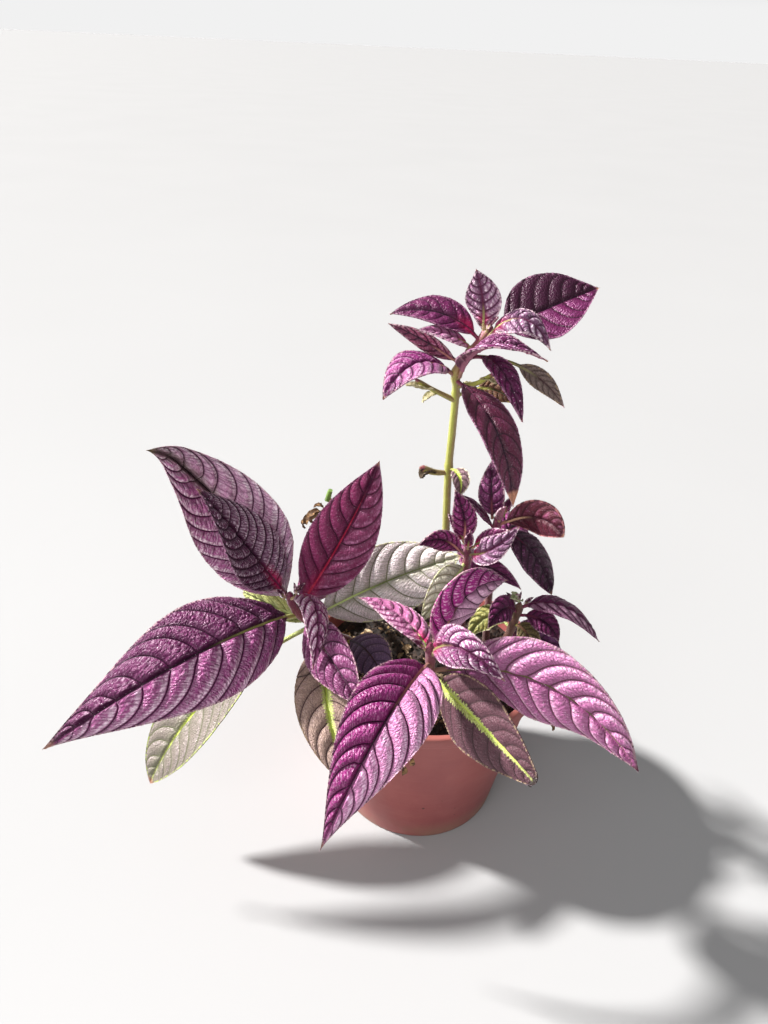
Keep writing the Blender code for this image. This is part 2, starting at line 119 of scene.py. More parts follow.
# Distances of the first columns of points from the midrib.
MIDRIB_COLUMNS = (0.35, 0.8, 1.4)
COARSE_STEP = 0.66
FINE_STEP = 0.44

MARGIN_HAIR_SHARE = 0.75
STEM_HAIRS_PER_RING = 14

WHITE = (255, 255, 255)
LEAF_SHEEN = (240, 190, 225)
UNDER_SHEEN = (230, 200, 215)
FADED_GREEN = (112, 122, 84)
CRIMSON = (176, 22, 84)
LIME_BAND = ((146, 158, 70), (204, 210, 138))
LIME_RIB = (196, 214, 96)
# Colour of the painted glints on the leaves.
GLINT = (246, 226, 240)
SUNLIGHT = (255, 253, 250)
# The sky's strength falls between two heights over the horizon, from the first value to the second.
SKY_FADE = (0.035, 0.12, 0.88, 0.30)


@dataclass
class Stem:
    """A stem stands in its soil hole at the first point and passes through the others."""
    points: list
    bottom_radius: float
    top_radius: float
    colour: str = "purple stem"


@dataclass
class Leaf:
    """A leaf leaves its stem at a height, and its tip lies at a heading, a reach and a climb from there."""
    stem: str
    height: float
    heading: float
    reach: float
    climb: float
    width: float
    arch: float = 5.0
    sway: float = 0.0
    bend: float = 0.5
    roll: float = 0.0
    twist: float = 0.0
    fold: float = 14.0
    curl: float = 0.2
    wave: float = 0.0
    sharpness: float = TIP_SHARPNESS
    stalk: float = 0.06
    colour: str = "violet"


@dataclass
class Twig:
    """A bare shoot or stalk: its path and its radii at both ends."""
    points: list
    bottom_radius: float
    top_radius: float


@dataclass
class Detail:
    """Relief of a leaf and the number of its veins; its tip may roll up (curl) or turn aside (swing)."""
    quilting: float = 1.0
    rung_height: float = 0.26
    rung_spacing: float = 1.35
    uneven: float = 0.5
    tip_curl: float = 0.0
    tip_swing: float = 0.0
    tip_start: float = 0.92
    veins: int = 0
    coarse: bool = False


@dataclass
class Look:
    """Colours of a leaf, then how strong each mark is, and for each half where its own is left or right."""
    deep: tuple
    crest: tuple
    pale: tuple
    vein: tuple
    midrib: tuple
    stalk: tuple
    under: tuple = (96, 30, 70)
    under_vein: tuple = (150, 90, 110)
    edge: tuple = (196, 160, 168)
    tip: tuple = (146, 104, 84)
    tip_from: float = 0.955
    midrib_until: float = 0.42
    # How much painted sheen and highlight lies on each half.
    painted_sheen_left: float = 0.35
    painted_sheen_right: float = 0.35
    vein_width: float = 1.0
    # How deep the band along the midrib is: partly the leaf's own colour, partly painted shade in the fold.
    dark_middle: float = 0.6
    # Strength of the painted shade between the rungs.
    rung: float = 0.28
    net: float = 0.15
    lime: float = 0.0
    green: float = 0.0
    crimson: float = 0.0
    painted_glint: float = 0.35
    # Strength of the painted highlights on the rungs' ridges.
    ridge_highlight: float = 0.4
    # Painted light and shade on each half, from -1, all deep, to 1, all pale.
    painted_light_left: float = 0.0
    painted_light_right: float = 0.0
    metallic: float = 0.12
    roughness: float = 0.38
    gloss: float = 0.28
    sheen: float = 0.06


@dataclass
class Scrap:
    """A dry, broken or budding bit: its root, the way it points, its size, and how far it curls over."""
    root: tuple
    heading: float
    climb: float
    length: float
    width: float
    curl: float


STEMS = {
    "stem_tall": Stem([(8, 32, 86), (7, 30, 110), (5, 25, 152), (3.5, 20, 186), (3.5, 16, 212),
                       (3.5, 12, 231), (3, 8, 243), (9, 10, 252), (16, 13, 262)], 2.2, 1.5, "green stem"),
    "stem_left": Stem([(-27, 2, 85), (-46, -4, 100), (-61, -9, 113), (-67, -12, 124), (-68, -13, 132)],
                      2.4, 1.8),
    "stem_front": Stem([(3, -20, 86), (3, -34, 104), (3, -42, 118), (2, -43, 135)], 2.4, 1.8),
    "stem_middle": Stem([(18, 10, 86), (17, 8, 120), (16, 4, 150), (16, 2, 161)], 2.2, 1.6),
    "stem_second": Stem([(32, 18, 86), (30, 16, 125), (29, 11, 160), (29, 10, 173)], 2.0, 1.5),
    "stem_right": Stem([(34, -4, 86), (39, -6, 108), (42, -8, 125), (43, -9, 136)], 2.2, 1.6, "worn stem"),
    "stem_dried": Stem([(-22, 34, 86), (-32, 34, 112), (-48, 34, 142), (-57, 33, 161)], 2.0, 1.4,
                       "dry stem"),
}

# Side shoots and scraps too small for a piece of their own grow out of a stem, and start inside it.
TWIGS = {
    "stem_tall": [
        Twig([(4, 11, 235), (12, 6, 239), (19, 4, 245)], 1.2, 1.0),
        Twig([(3, 12, 228), (-7, 8, 234), (-15, 4, 240)], 1.3, 0.9),
        Twig([(3, 20, 187), (-3, 16, 189), (-10, 12, 193)], 1.2, 2.0),
    ],
    "stem_dried": [
        Twig([(-53, 34, 153), (-60, 32, 151), (-68, 30, 147)], 0.9, 1.8),
    ],
}

LEAVES = {
    "left_leaf_raised": Leaf("stem_left", 125, 181, 63, 85, 51, arch=-6, sway=-22, bend=0.41, roll=-33,
        fold=22, curl=0.10, wave=0.8, sharpness=1.18, stalk=0.03),
    "left_leaf_inner": Leaf("stem_left", 131, 205, 36, 64, 34, arch=-1, sway=-7, bend=0.42, roll=12,
        fold=18, curl=0.15, colour="plum"),
    "left_leaf_upright": Leaf("stem_left", 121, 21, 38, 77, 33, arch=-4, sway=3, roll=26, fold=11,
        colour="plum"),
    "left_leaf_long": Leaf("stem_left", 119, 212, 122, -39, 47, arch=24, sway=18, bend=0.40, roll=-17,
        fold=4, curl=0.30, wave=1.6, sharpness=1.2),
    "left_leaf_curled": Leaf("stem_left", 130, 297, 33, -17, 17, arch=13, sway=6, bend=0.38, roll=-45,
        fold=6, curl=0.25, colour="young"),
    "left_leaf_forward": Leaf("stem_left", 115, 308, 58, -10, 25, arch=7, sway=-3, bend=0.55, roll=35,
        fold=13),
    "left_leaf_behind": Leaf("stem_left", 108, 157, 45, 2, 15, arch=6, sway=5, bend=0.60, roll=-60,
        colour="silver"),
    "left_leaf_old": Leaf("stem_left", 110, 215, 88, -68, 38, arch=14, roll=15, twist=-15, curl=0.1,
        sharpness=0.85, stalk=0.22, colour="silver"),
    "left_leaf_hanging": Leaf("stem_left", 103, 289, 72, -32, 31, arch=12, sway=-8, bend=0.55, roll=-10,
        colour="mauve"),
    "left_leaf_back": Leaf("stem_left", 117, 75, 46, -20, 22, arch=10, roll=5),
    "back_leaf_silver": Leaf("stem_left", 112, 12, 74, 34, 39, arch=-6, sway=12, bend=0.55, roll=40,
        twist=-12, fold=8, curl=0.17, colour="silver"),
    "left_leaf_shaded": Leaf("stem_left", 96, 305, 42, 1, 22, arch=7, sway=1, roll=5, fold=9,
        colour="mauve"),

    "front_leaf_long": Leaf("stem_front", 124, 236, 70, -58, 36, arch=33, sway=11, bend=0.36, roll=-8,
        twist=-10, fold=17, wave=0.8, sharpness=1.3),
    "front_leaf_upper": Leaf("stem_front", 130, 42, 39, 23, 23, arch=20, sway=-4, roll=56, fold=8,
        curl=0.25),
    "front_leaf_young": Leaf("stem_front", 131, 319, 39, 12, 18, arch=15, sway=-8, bend=0.62, roll=45,
        fold=10, colour="young"),
    "front_leaf_rear": Leaf("stem_front", 127, 142, 45, 6, 19, arch=1, sway=-6, roll=32, colour="young"),
    "front_leaf_right": Leaf("stem_front", 119, 338, 94, -12, 38, arch=16, sway=6, roll=55, twist=-10,
        fold=10, wave=0.8),
    "front_leaf_old": Leaf("stem_front", 116, 313, 69, -8, 32, arch=4, sway=-2, roll=50, fold=11, curl=0.15,
        colour="mauve"),

    "middle_leaf_top": Leaf("stem_middle", 159, 186, 7, 28, 12, arch=2, sway=1, roll=-15),
    "middle_leaf_left": Leaf("stem_middle", 154, 216, 26, 12, 11, arch=4, sway=-2, roll=-60),
    "middle_leaf_young": Leaf("stem_middle", 154, 338, 21, 23, 13, arch=-1, sway=-6, roll=28,
        colour="young"),
    "middle_leaf_right": Leaf("stem_middle", 143, 328, 28, 3, 12, arch=9, sway=-4, roll=60, colour="plum"),
    "middle_leaf_pale": Leaf("stem_middle", 147, 224, 26, -23, 18, arch=4, sway=3, bend=0.42, roll=-40,
        colour="silver"),
    "middle_leaf_rear": Leaf("stem_second", 166, 190, 17, 17, 9, arch=1, roll=30, colour="plum"),
    "tall_leaf_small": Leaf("stem_tall", 191, 304, 9, -10, 10, fold=32, stalk=0.1, colour="olive"),
    "middle_leaf_back": Leaf("stem_middle", 135, 80, 34, -12, 17, arch=8, roll=10),
    "second_leaf_top": Leaf("stem_second", 171, 107, 9, 26, 13, sway=2, roll=-25),
    "second_leaf_red": Leaf("stem_second", 168, 325, 32, 7, 17, arch=4, sway=5, roll=59, fold=6, curl=0.25,
        sharpness=0.8, colour="red"),
    "second_leaf_dark": Leaf("stem_second", 164, 340, 29, -28, 18, arch=6, bend=0.44, roll=-12, fold=6,
        curl=0.25, sharpness=0.85, colour="plum"),
    "second_leaf_back": Leaf("stem_second", 150, 60, 36, -8, 18, arch=8, roll=10),
    "right_leaf_rounded": Leaf("stem_right", 132, 227, 19, -1, 13, arch=6, roll=-30, colour="plum"),
    "right_leaf_long": Leaf("stem_right", 134, 356, 38, -15, 18, arch=9, bend=0.42, roll=-35, twist=-8,
        fold=9, colour="plum"),
    "right_leaf_spiky": Leaf("stem_right", 129, 335, 20, -7, 11, roll=25, stalk=0.1, colour="plum"),
    "right_leaf_olive": Leaf("stem_right", 123, 306, 15, -14, 11, arch=6, bend=0.38, roll=25,
        colour="mauve"),
    "right_leaf_low": Leaf("stem_right", 112, 14, 30, -19, 16, arch=3, sway=6, roll=16, colour="plum"),
    "right_leaf_faded": Leaf("stem_right", 119, 180, 19, -13, 13, arch=4, sway=-6, bend=0.42, roll=-12,
        colour="silver"),

    "top_leaf_large": Leaf("stem_tall", 260, 21, 46, 18, 32, arch=1, roll=12, fold=16, curl=0.08,
        stalk=0.12, colour="plum"),
    "top_leaf_upright": Leaf("stem_tall", 260, 197, 6, 24, 15, arch=1, roll=-40, fold=6, curl=0.25,
        colour="young"),
    "top_leaf_left": Leaf("stem_tall", 256, 179, 37, 7, 16, arch=6, roll=-4, fold=18, curl=0.13,
        colour="plum"),
    "top_leaf_pink": Leaf("stem_tall", 252, 203, 24, 9, 11, arch=2, roll=11, colour="young"),
    "top_leaf_young": Leaf("stem_tall", 259, 344, 26, -2, 13, arch=11, sway=-3, roll=5, fold=4, curl=0.3,
        colour="young"),
    "top_leaf_arched": Leaf("stem_tall", 243, 340, 36, 13, 18, arch=12, sway=-8, roll=-25, fold=18,
        curl=0.1),
    "top_leaf_side": Leaf("stem_tall", 242, 222, 36, -4, 22, arch=9, sway=-2, roll=16, twist=-6, fold=13),
    "top_leaf_narrow": Leaf("stem_tall", 246, 177, 30, 14, 9, arch=1, roll=-80),
    "top_leaf_hanging": Leaf("stem_tall", 250, 316, 31, -18, 14, arch=8, bend=0.40, roll=-21, fold=17,
        stalk=0.2, colour="plum"),
    "top_leaf_shaded": Leaf("stem_tall", 251, 349, 40, -17, 9, sway=3, roll=62, stalk=0.42, colour="mauve"),
    "top_leaf_olive": Leaf("stem_tall", 231, 345, 24, 0, 11, arch=4, sway=2, roll=40, stalk=0.3,
        colour="olive"),
    "top_leaf_drooping": Leaf("stem_tall", 239, 309, 43, -40, 22, arch=10, roll=-22, twist=-3, fold=18,
        colour="plum"),
    "back_leaf_left": Leaf("stem_dried", 104, 150, 44, -6, 22, arch=10),
    "back_leaf_right": Leaf("stem_dried", 100, 40, 46, -10, 22, arch=10),
}

PLAIN = Detail(quilting=0.75, rung_height=0.2)
SHADED = Detail(quilting=0.45, rung_height=0.07)
FINE = Detail(rung_height=0.32, rung_spacing=1.3, uneven=0.3)

DETAILS = {
    "left_leaf_raised": Detail(rung_height=0.5, rung_spacing=2.2, quilting=1.3, tip_swing=-0.6,
        tip_start=0.86),
    "left_leaf_inner": replace(FINE, rung_height=0.4, veins=13),
    "left_leaf_upright": Detail(quilting=0.75, rung_height=0.06),
    "left_leaf_long": Detail(rung_height=0.42, rung_spacing=1.5, quilting=1.15),
    "left_leaf_curled": FINE,
    "left_leaf_hanging": Detail(quilting=0.6, rung_height=0.08),
    "left_leaf_shaded": SHADED,
    "left_leaf_old": SHADED,
    "back_leaf_silver": Detail(quilting=0.6, rung_height=0.12),
    "front_leaf_long": Detail(quilting=1.3, rung_spacing=1.2),
    "front_leaf_upper": Detail(quilting=1.2, rung_height=0.16, rung_spacing=1.2),
    "front_leaf_young": FINE,
    "front_leaf_rear": FINE,
    "front_leaf_right": Detail(quilting=0.9, rung_height=0.3, rung_spacing=1.3),
    "front_leaf_old": Detail(quilting=0.5, rung_height=0.08, tip_curl=2.6, tip_start=0.90),
    "second_leaf_red": Detail(quilting=0.5, rung_height=0.05),
    "second_leaf_dark": Detail(quilting=0.7, rung_height=0.07),
    "middle_leaf_young": FINE,
    "top_leaf_large": Detail(quilting=0.45, rung_height=0.03),
    "top_leaf_side": Detail(quilting=0.6, rung_height=0.12),
    "top_leaf_left": Detail(quilting=0.6, rung_height=0.12),
    "top_leaf_young": FINE,
    "top_leaf_upright": FINE,
    "top_leaf_drooping": Detail(quilting=0.35, rung_height=0.04),
}

LOOKS = {
    "violet": Look((52, 12, 40), (150, 44, 116), (240, 196, 228), (40, 12, 32), (176, 120, 110),
        (150, 110, 96)),
    # Violet painted in shade, for the leaves that stood in shade.
    "plum": Look((66, 16, 52), (110, 32, 84), (200, 124, 190), (44, 12, 38), (96, 28, 62), (130, 60, 84),
        painted_sheen_left=0.15, painted_sheen_right=0.15, edge=(160, 110, 140), vein_width=0.75, ridge_highlight=0.12),
    "young": Look((110, 38, 84), (212, 126, 184), (244, 208, 230), (92, 34, 66), (150, 140, 92),
        (170, 150, 110), painted_sheen_left=0.55, painted_sheen_right=0.55, crimson=0.6, edge=(236, 206, 216)),
    "silver": Look((150, 140, 118), (230, 206, 214), (250, 240, 244), (112, 118, 76), (190, 206, 130),
        (180, 190, 120), under=(140, 120, 100), under_vein=(180, 180, 120), net=0.3, green=0.3,
        painted_sheen_left=0.6, painted_sheen_right=0.6, edge=(216, 218, 160), vein_width=0.8, dark_middle=0.25),
    "mauve": Look((74, 52, 54), (126, 96, 104), (170, 142, 154), (66, 44, 46), (176, 200, 78),
        (164, 164, 84), under=(120, 84, 80), net=0.35, lime=0.7, painted_sheen_left=0.2, painted_sheen_right=0.2, edge=(160,
        138, 110), dark_middle=0.2, vein_width=0.8, painted_glint=0.15, ridge_highlight=0.3, metallic=0.0, roughness=0.5),
    "red": Look((76, 24, 38), (112, 42, 56), (190, 104, 150), (60, 18, 32), (190, 150, 120),
        (170, 110, 100), painted_sheen_left=0.3, painted_sheen_right=0.1, rung=0.2, edge=(190, 120, 120), ridge_highlight=0.1),
    "olive": Look((62, 56, 26), (116, 106, 58), (166, 160, 104), (52, 48, 24), (160, 160, 80),
        (150, 150, 80), under=(110, 100, 60), net=0.3, painted_sheen_left=0.3, painted_sheen_right=0.3, edge=(150, 146, 100),
        metallic=0.0, roughness=0.5, painted_glint=0.1),
}

# What sets a leaf's colours apart from others of its finish, painted light and shade among it. Left and right
# are the leaf's own, and a half's painted light runs from -1, painted shade all deep, to 1, painted light all
# pale.
LEAF_LOOKS = {
    "left_leaf_raised": dict(deep=(52, 14, 42), crest=(174, 84, 146), pale=(255, 234, 246), painted_sheen_right=1.2,
        painted_sheen_left=0.8, painted_light_right=0.2, rung=0.4, painted_glint=0.8, green=0.35, tip=(110, 98, 68), tip_from=0.95,
        ridge_highlight=1.2),
    "left_leaf_inner": dict(deep=(44, 10, 36), crest=(104, 30, 82), pale=(244, 220, 238), crimson=0.8,
        painted_glint=1.0, ridge_highlight=1.2, painted_sheen_left=0.45, painted_sheen_right=1.0, painted_light_left=-0.3, rung=0.5),
    "left_leaf_upright": dict(deep=(58, 14, 38), crest=(112, 28, 72), pale=(226, 154, 198), painted_sheen_right=0.6,
        midrib=(160, 24, 60), midrib_until=0.85, crimson=0.4, rung=0.2),
    "left_leaf_long": dict(deep=(44, 10, 36), crest=(146, 46, 118), pale=(250, 220, 240),
        midrib=(170, 170, 100), dark_middle=0.5, painted_glint=0.8, ridge_highlight=0.7, painted_light_right=-0.6, painted_light_left=-0.05,
        rung=0.35, painted_sheen_right=0.15, painted_sheen_left=1.0, stalk=(186, 190, 110)),
    "left_leaf_curled": dict(deep=(66, 16, 52), crest=(172, 76, 138), pale=(252, 234, 246), ridge_highlight=1.2,
        painted_sheen_left=1.0, painted_sheen_right=0.8),
    # Painted shade: a darker crest, for a leaf that lay in shadow.
    "left_leaf_forward": dict(crest=(128, 56, 104), painted_sheen_left=0.4, painted_sheen_right=0.15),
    "left_leaf_behind": dict(crest=(196, 200, 120), pale=(224, 226, 160), deep=(130, 136, 70)),
    "left_leaf_old": dict(crest=(136, 124, 118), pale=(174, 160, 160), lime=0.5, edge=(176, 192, 100),
        deep=(96, 98, 74), vein=(92, 96, 66)),
    "left_leaf_hanging": dict(crest=(182, 154, 140), lime=0.9, under=(116, 84, 72)),
    # Painted shade: dark colours, for a leaf that lay in shade.
    "left_leaf_shaded": dict(crest=(110, 84, 118), deep=(62, 46, 68), lime=0.0, midrib=(60, 48, 62)),
    # Painted light: a paler crest and pale colour, for a leaf that lay in sun.
    "back_leaf_silver": dict(deep=(108, 110, 84), crest=(232, 214, 220), vein=(96, 106, 60), rung=0.45,
        pale=(248, 242, 244), green=0.5),
    "front_leaf_long": dict(crest=(176, 46, 138), pale=(252, 216, 242), painted_sheen_left=1.4, painted_sheen_right=0.25,
        vein_width=0.85, painted_light_right=-0.45, painted_light_left=0.24, ridge_highlight=0.7, dark_middle=0.2),
    "front_leaf_upper": dict(crest=(176, 42, 138), painted_sheen_left=0.25, painted_sheen_right=1.6, ridge_highlight=0.7,
        pale=(255, 212, 238), painted_light_left=-0.1, painted_light_right=0.55, dark_middle=0.3),
    "front_leaf_young": dict(deep=(58, 14, 46), crest=(158, 78, 134), pale=(252, 236, 246), ridge_highlight=1.2,
        dark_middle=0.7),
    "front_leaf_rear": dict(crest=(206, 116, 170), midrib=(140, 170, 90), crimson=0.9, painted_light_left=-0.6),
    "front_leaf_right": dict(deep=(92, 44, 78), crest=(178, 98, 152), pale=(240, 196, 224), ridge_highlight=0.3,
        painted_glint=1.0, vein=(104, 96, 62), midrib=(112, 100, 66), tip=(84, 46, 60), painted_sheen_left=0.7,
        painted_sheen_right=0.7, dark_middle=0.35),
    "front_leaf_old": dict(deep=(54, 34, 38), crest=(92, 58, 68), pale=(140, 104, 114), tip=(40, 32, 28),
        tip_from=0.9),
    "middle_leaf_young": dict(crest=(158, 108, 146), deep=(70, 30, 60), pale=(232, 214, 226), ridge_highlight=0.7),
    "middle_leaf_pale": dict(crest=(212, 206, 186), pale=(238, 236, 222)),
    "tall_leaf_small": dict(crest=(146, 112, 122), pale=(190, 168, 164), deep=(98, 74, 78),
        midrib=(178, 208, 90), edge=(232, 226, 196), lime=0.35),
    "second_leaf_top": dict(crest=(104, 34, 84), painted_sheen_left=0.15, painted_sheen_right=0.25, ridge_highlight=0.15,
        midrib=(104, 52, 62)),
    "second_leaf_red": dict(painted_sheen_left=0.5, crest=(88, 30, 44), deep=(60, 18, 30)),
    "second_leaf_dark": dict(painted_sheen_left=0.3, deep=(26, 8, 22), crest=(62, 18, 48)),
    "right_leaf_rounded": dict(painted_sheen_left=0.4),
    "right_leaf_long": dict(painted_sheen_right=0.85, pale=(232, 186, 214)),
    "right_leaf_olive": dict(crest=(124, 112, 66), deep=(70, 60, 34), lime=0.0, midrib=(150, 110, 84)),
    "right_leaf_low": dict(crest=(112, 50, 108)),
    "right_leaf_faded": dict(crest=(158, 150, 76), pale=(206, 202, 130), deep=(92, 96, 36)),
    "top_leaf_large": dict(deep=(50, 12, 36), crest=(108, 30, 84), painted_sheen_right=0.4, painted_light_left=-0.85,
        ridge_highlight=0.2, painted_glint=0.1, sheen=0.0, gloss=0.35),
    "top_leaf_upright": dict(crest=(160, 104, 144), deep=(62, 24, 50), pale=(248, 232, 242), ridge_highlight=0.9),
    "top_leaf_left": dict(crimson=0.9, painted_sheen_left=0.3),
    "top_leaf_pink": dict(crest=(222, 146, 194)),
    "top_leaf_arched": dict(painted_sheen_left=0.4, painted_sheen_right=0.4, crest=(118, 30, 92), ridge_highlight=0.9),
    "top_leaf_young": dict(deep=(58, 20, 50), crest=(150, 96, 138), pale=(246, 232, 242), ridge_highlight=1.0),
    "top_leaf_side": dict(deep=(60, 12, 50), crest=(146, 40, 118), painted_sheen_left=0.9, painted_sheen_right=0.5,
        ridge_highlight=0.8),
    "top_leaf_narrow": dict(crest=(170, 86, 116)),
    "top_leaf_hanging": dict(painted_glint=1.0, tip=(120, 60, 70)),
    "top_leaf_shaded": dict(crest=(120, 104, 96), deep=(80, 66, 62), lime=0.0, midrib=(130, 122, 90)),
    "top_leaf_olive": dict(crest=(120, 76, 54), deep=(74, 44, 34), edge=(206, 186, 90)),
    "top_leaf_drooping": dict(deep=(50, 14, 32), tip=(176, 122, 98), tip_from=0.88, crest=(100, 34, 62),
        ridge_highlight=0.1, painted_glint=0.4, gloss=0.4, sheen=0.1),
}

BUD = Detail(rung_height=0.1, uneven=0.1, coarse=True)
# The leaflets of a bud: length, lean from the upright, and heading.
BUD_LEAFLETS = ((4.5, 12, 0), (5.5, 20, 180), (7.0, 34, 90), (8.0, 46, 270))
BUD_SCALES = {"stem_middle": 2.5, "stem_second": 2.0, "stem_right": 0.8}
BUD_LOOK = replace(LOOKS["young"], deep=(62, 16, 48), crest=(140, 50, 108), crimson=0.9, painted_sheen_left=0.3,
                   painted_sheen_right=0.3)

SCRAPS = {
    "dry_bits": [
        Scrap((-61, 32, 152), 215, 5, 9, 4.5, 1.4), Scrap((-63, 31, 151), 170, -20, 8, 4, 2.2),
        Scrap((-66, 31, 149), 250, 30, 7, 3.5, 2.8), Scrap((-59, 32, 154), 190, 55, 6, 3, 2.0),
        Scrap((-68, 30, 147), 200, -40, 6, 3.5, 1.8),
        Scrap((54.5, -27, 91.2), 335, -22, 19, 6, 1.0), Scrap((57, -25, 90), 320, -50, 12, 4, 0.8),
        Scrap((46, -33, 92.5), 25, 12, 7, 2.6, 1.0), Scrap((49, -32, 92.3), 80, 5, 5, 2.2, 0.6),
        Scrap((-4.5, -98.8, 119.0), 300, -55, 5, 2.4, 1.2), Scrap((-1.5, -96.8, 121.8), 280, -30, 4, 2, 1.8),
    ],
    "shrivelled_bud": [
        Scrap((-2.5, 15.5, 189.4), 214, 20, 6, 5, 0.7), Scrap((-3.5, 15, 190.2), 220, 35, 5, 4.5, 1.4),
        Scrap((-5.5, 13, 191.2), 215, 18, 6.5, 4, 2.0), Scrap((-7, 12.5, 192.6), 190, 5, 5.5, 3.5, 2.6),
        Scrap((-7, 12.5, 190.8), 240, 25, 5, 3.5, 2.4), Scrap((-8.5, 11.8, 192.4), 160, -30, 4, 3, 2.4),
    ],
    "straw_bits": [
        Scrap((29.3, 11.0, 147), 250, 40, 6, 3, 1.2), Scrap((29.6, 11.2, 149), 200, 10, 5, 2.4, 1.8),
        Scrap((31, 12.5, 144), 300, -30, 5, 2.6, 1.4),
    ],
    "pale_bracts": [
        Scrap((-5, 9.5, 232.5), 204, 22, 15, 6, 0.2), Scrap((-4, 10.5, 231.5), 214, 2, 9, 4.5, 0.9),
        Scrap((13, 5.5, 241.5), 330, 12, 8, 4, 0.5), Scrap((6, 10, 237), 352, 4, 7, 3.5, 0.9),
    ],
    "pale_buds": [
        Scrap((41.5, -10, 137.5), 200, 55, 5, 3.4, 1.0), Scrap((42, -11, 137.5), 300, 70, 4, 3, 0.8),
        Scrap((41, -8, 137), 130, 60, 4.5, 2.8, 1.2),
    ],
}

# Dark and light colours of the bits that are made of scraps.
SCRAP_COLOURS = {
    "dry_bits": ((78, 52, 32), (158, 120, 78)),
    "shrivelled_bud": ((58, 46, 38), (122, 104, 84)),
    "straw_bits": ((150, 118, 70), (214, 188, 132)),
    "pale_bracts": ((146, 138, 96), (204, 194, 158)),
    "pale_buds": ((132, 140, 96), (206, 208, 170)),
    "soil_strips": ((112, 88, 62), (206, 182, 146)),
}

# Loose lumps on the soil: how many, their sizes, how flat they are, and what their material is like.
CRUMBS = {
    "soil_crumbs": (1100, (0.5, 1.7), 0.8, ("soil crumb", (34, 24, 18), (78, 56, 42), 0.9)),
    "soil_chips": (110, (0.5, 1.3), 0.7, ("soil chip", (150, 134, 112), (214, 204, 186), 0.8)),
    "soil_litter": (150, (0.9, 3.0), 0.16, ("dry litter", (120, 92, 62), (186, 156, 112), 1.1)),
}

# Young, old and freckle colours of the stems, and the top's and the shaded side's where they differ.
STEM_LOOKS = {
    "green stem": ("stem green", (168, 172, 70), (150, 140, 74), (206, 208, 136), (132, 46, 72),
        (128, 92, 70)),
    "purple stem": ("stem purple", (120, 52, 66), (92, 52, 50), (170, 130, 120), (108, 28, 64)),
    "worn stem": ("stem worn", (108, 72, 60), (84, 58, 48), (160, 130, 110)),
    "dry stem": ("stem dry", (150, 120, 84), (110, 84, 58), (190, 170, 130)),
}

# Bare stalks that lie apart from the stems, with colours as above.
STALKS = {
    "green_stub": (Twig([(-57, 33, 158), (-56.4, 33, 161), (-55.4, 32.6, 164.5)], 1.6, 1.2),
        ("stub green", (116, 150, 56), (96, 124, 48), (170, 190, 110))),
    "dark_stalk": (
        Twig([(-59, -41, 104), (-54, -38, 103.9), (-50, -32, 103.6), (-45, -29, 103.4)], 0.3, 0.22),
        ("old stalk", (74, 54, 44), (60, 44, 38), (100, 80, 64))),
}

# Marks on the pot's wall: centre, radius and colour.
POT_MARKS = [
    ((6, -48.7, 29), 1.1, (70, 40, 38)),
    ((-14, -44.6, 8), 1.6, (196, 150, 134)),
    ((21, -52, 52), 0.7, (84, 46, 42)),
]


def leaf_look(name):
    """The look of one leaf: that of its finish, with what sets it apart."""
    return replace(LOOKS[LEAVES[name].colour], **LEAF_LOOKS.get(name, {}))


def rgb(colour):
    """Screen values to the linear colour that nodes take."""
    shares = np.array(colour, float) / 255
    linear = np.where(shares <= 0.04045, shares / 12.92, ((shares + 0.055) / 1.055) ** 2.4)
    return (*linear.tolist(), 1.0)


def darker(colour, share):
    """The colour at a share of its brightness."""
    return tuple(round(share * value) for value in colour)


def put(tree, socket, value):
    """Link a node's output to a socket, or set the socket to a value or a screen colour."""
    if isinstance(value, Value):
        tree.links.new(value.socket, socket)
    elif socket.type == "RGBA":
        socket.default_value = rgb(value)
    else:
        socket.default_value = value


def add_node(tree, kind, sockets=(), **settings):
    """Outputs of a node with these settings, and with its sockets, by name or number, linked or set."""
    node = tree.nodes.new("ShaderNode" + kind)
    for name, value in settings.items():
        setattr(node, name, value)
    for key, value in dict(sockets).items():
        put(tree, node.inputs[key], value)
    return [Value(tree, output) for output in node.outputs]


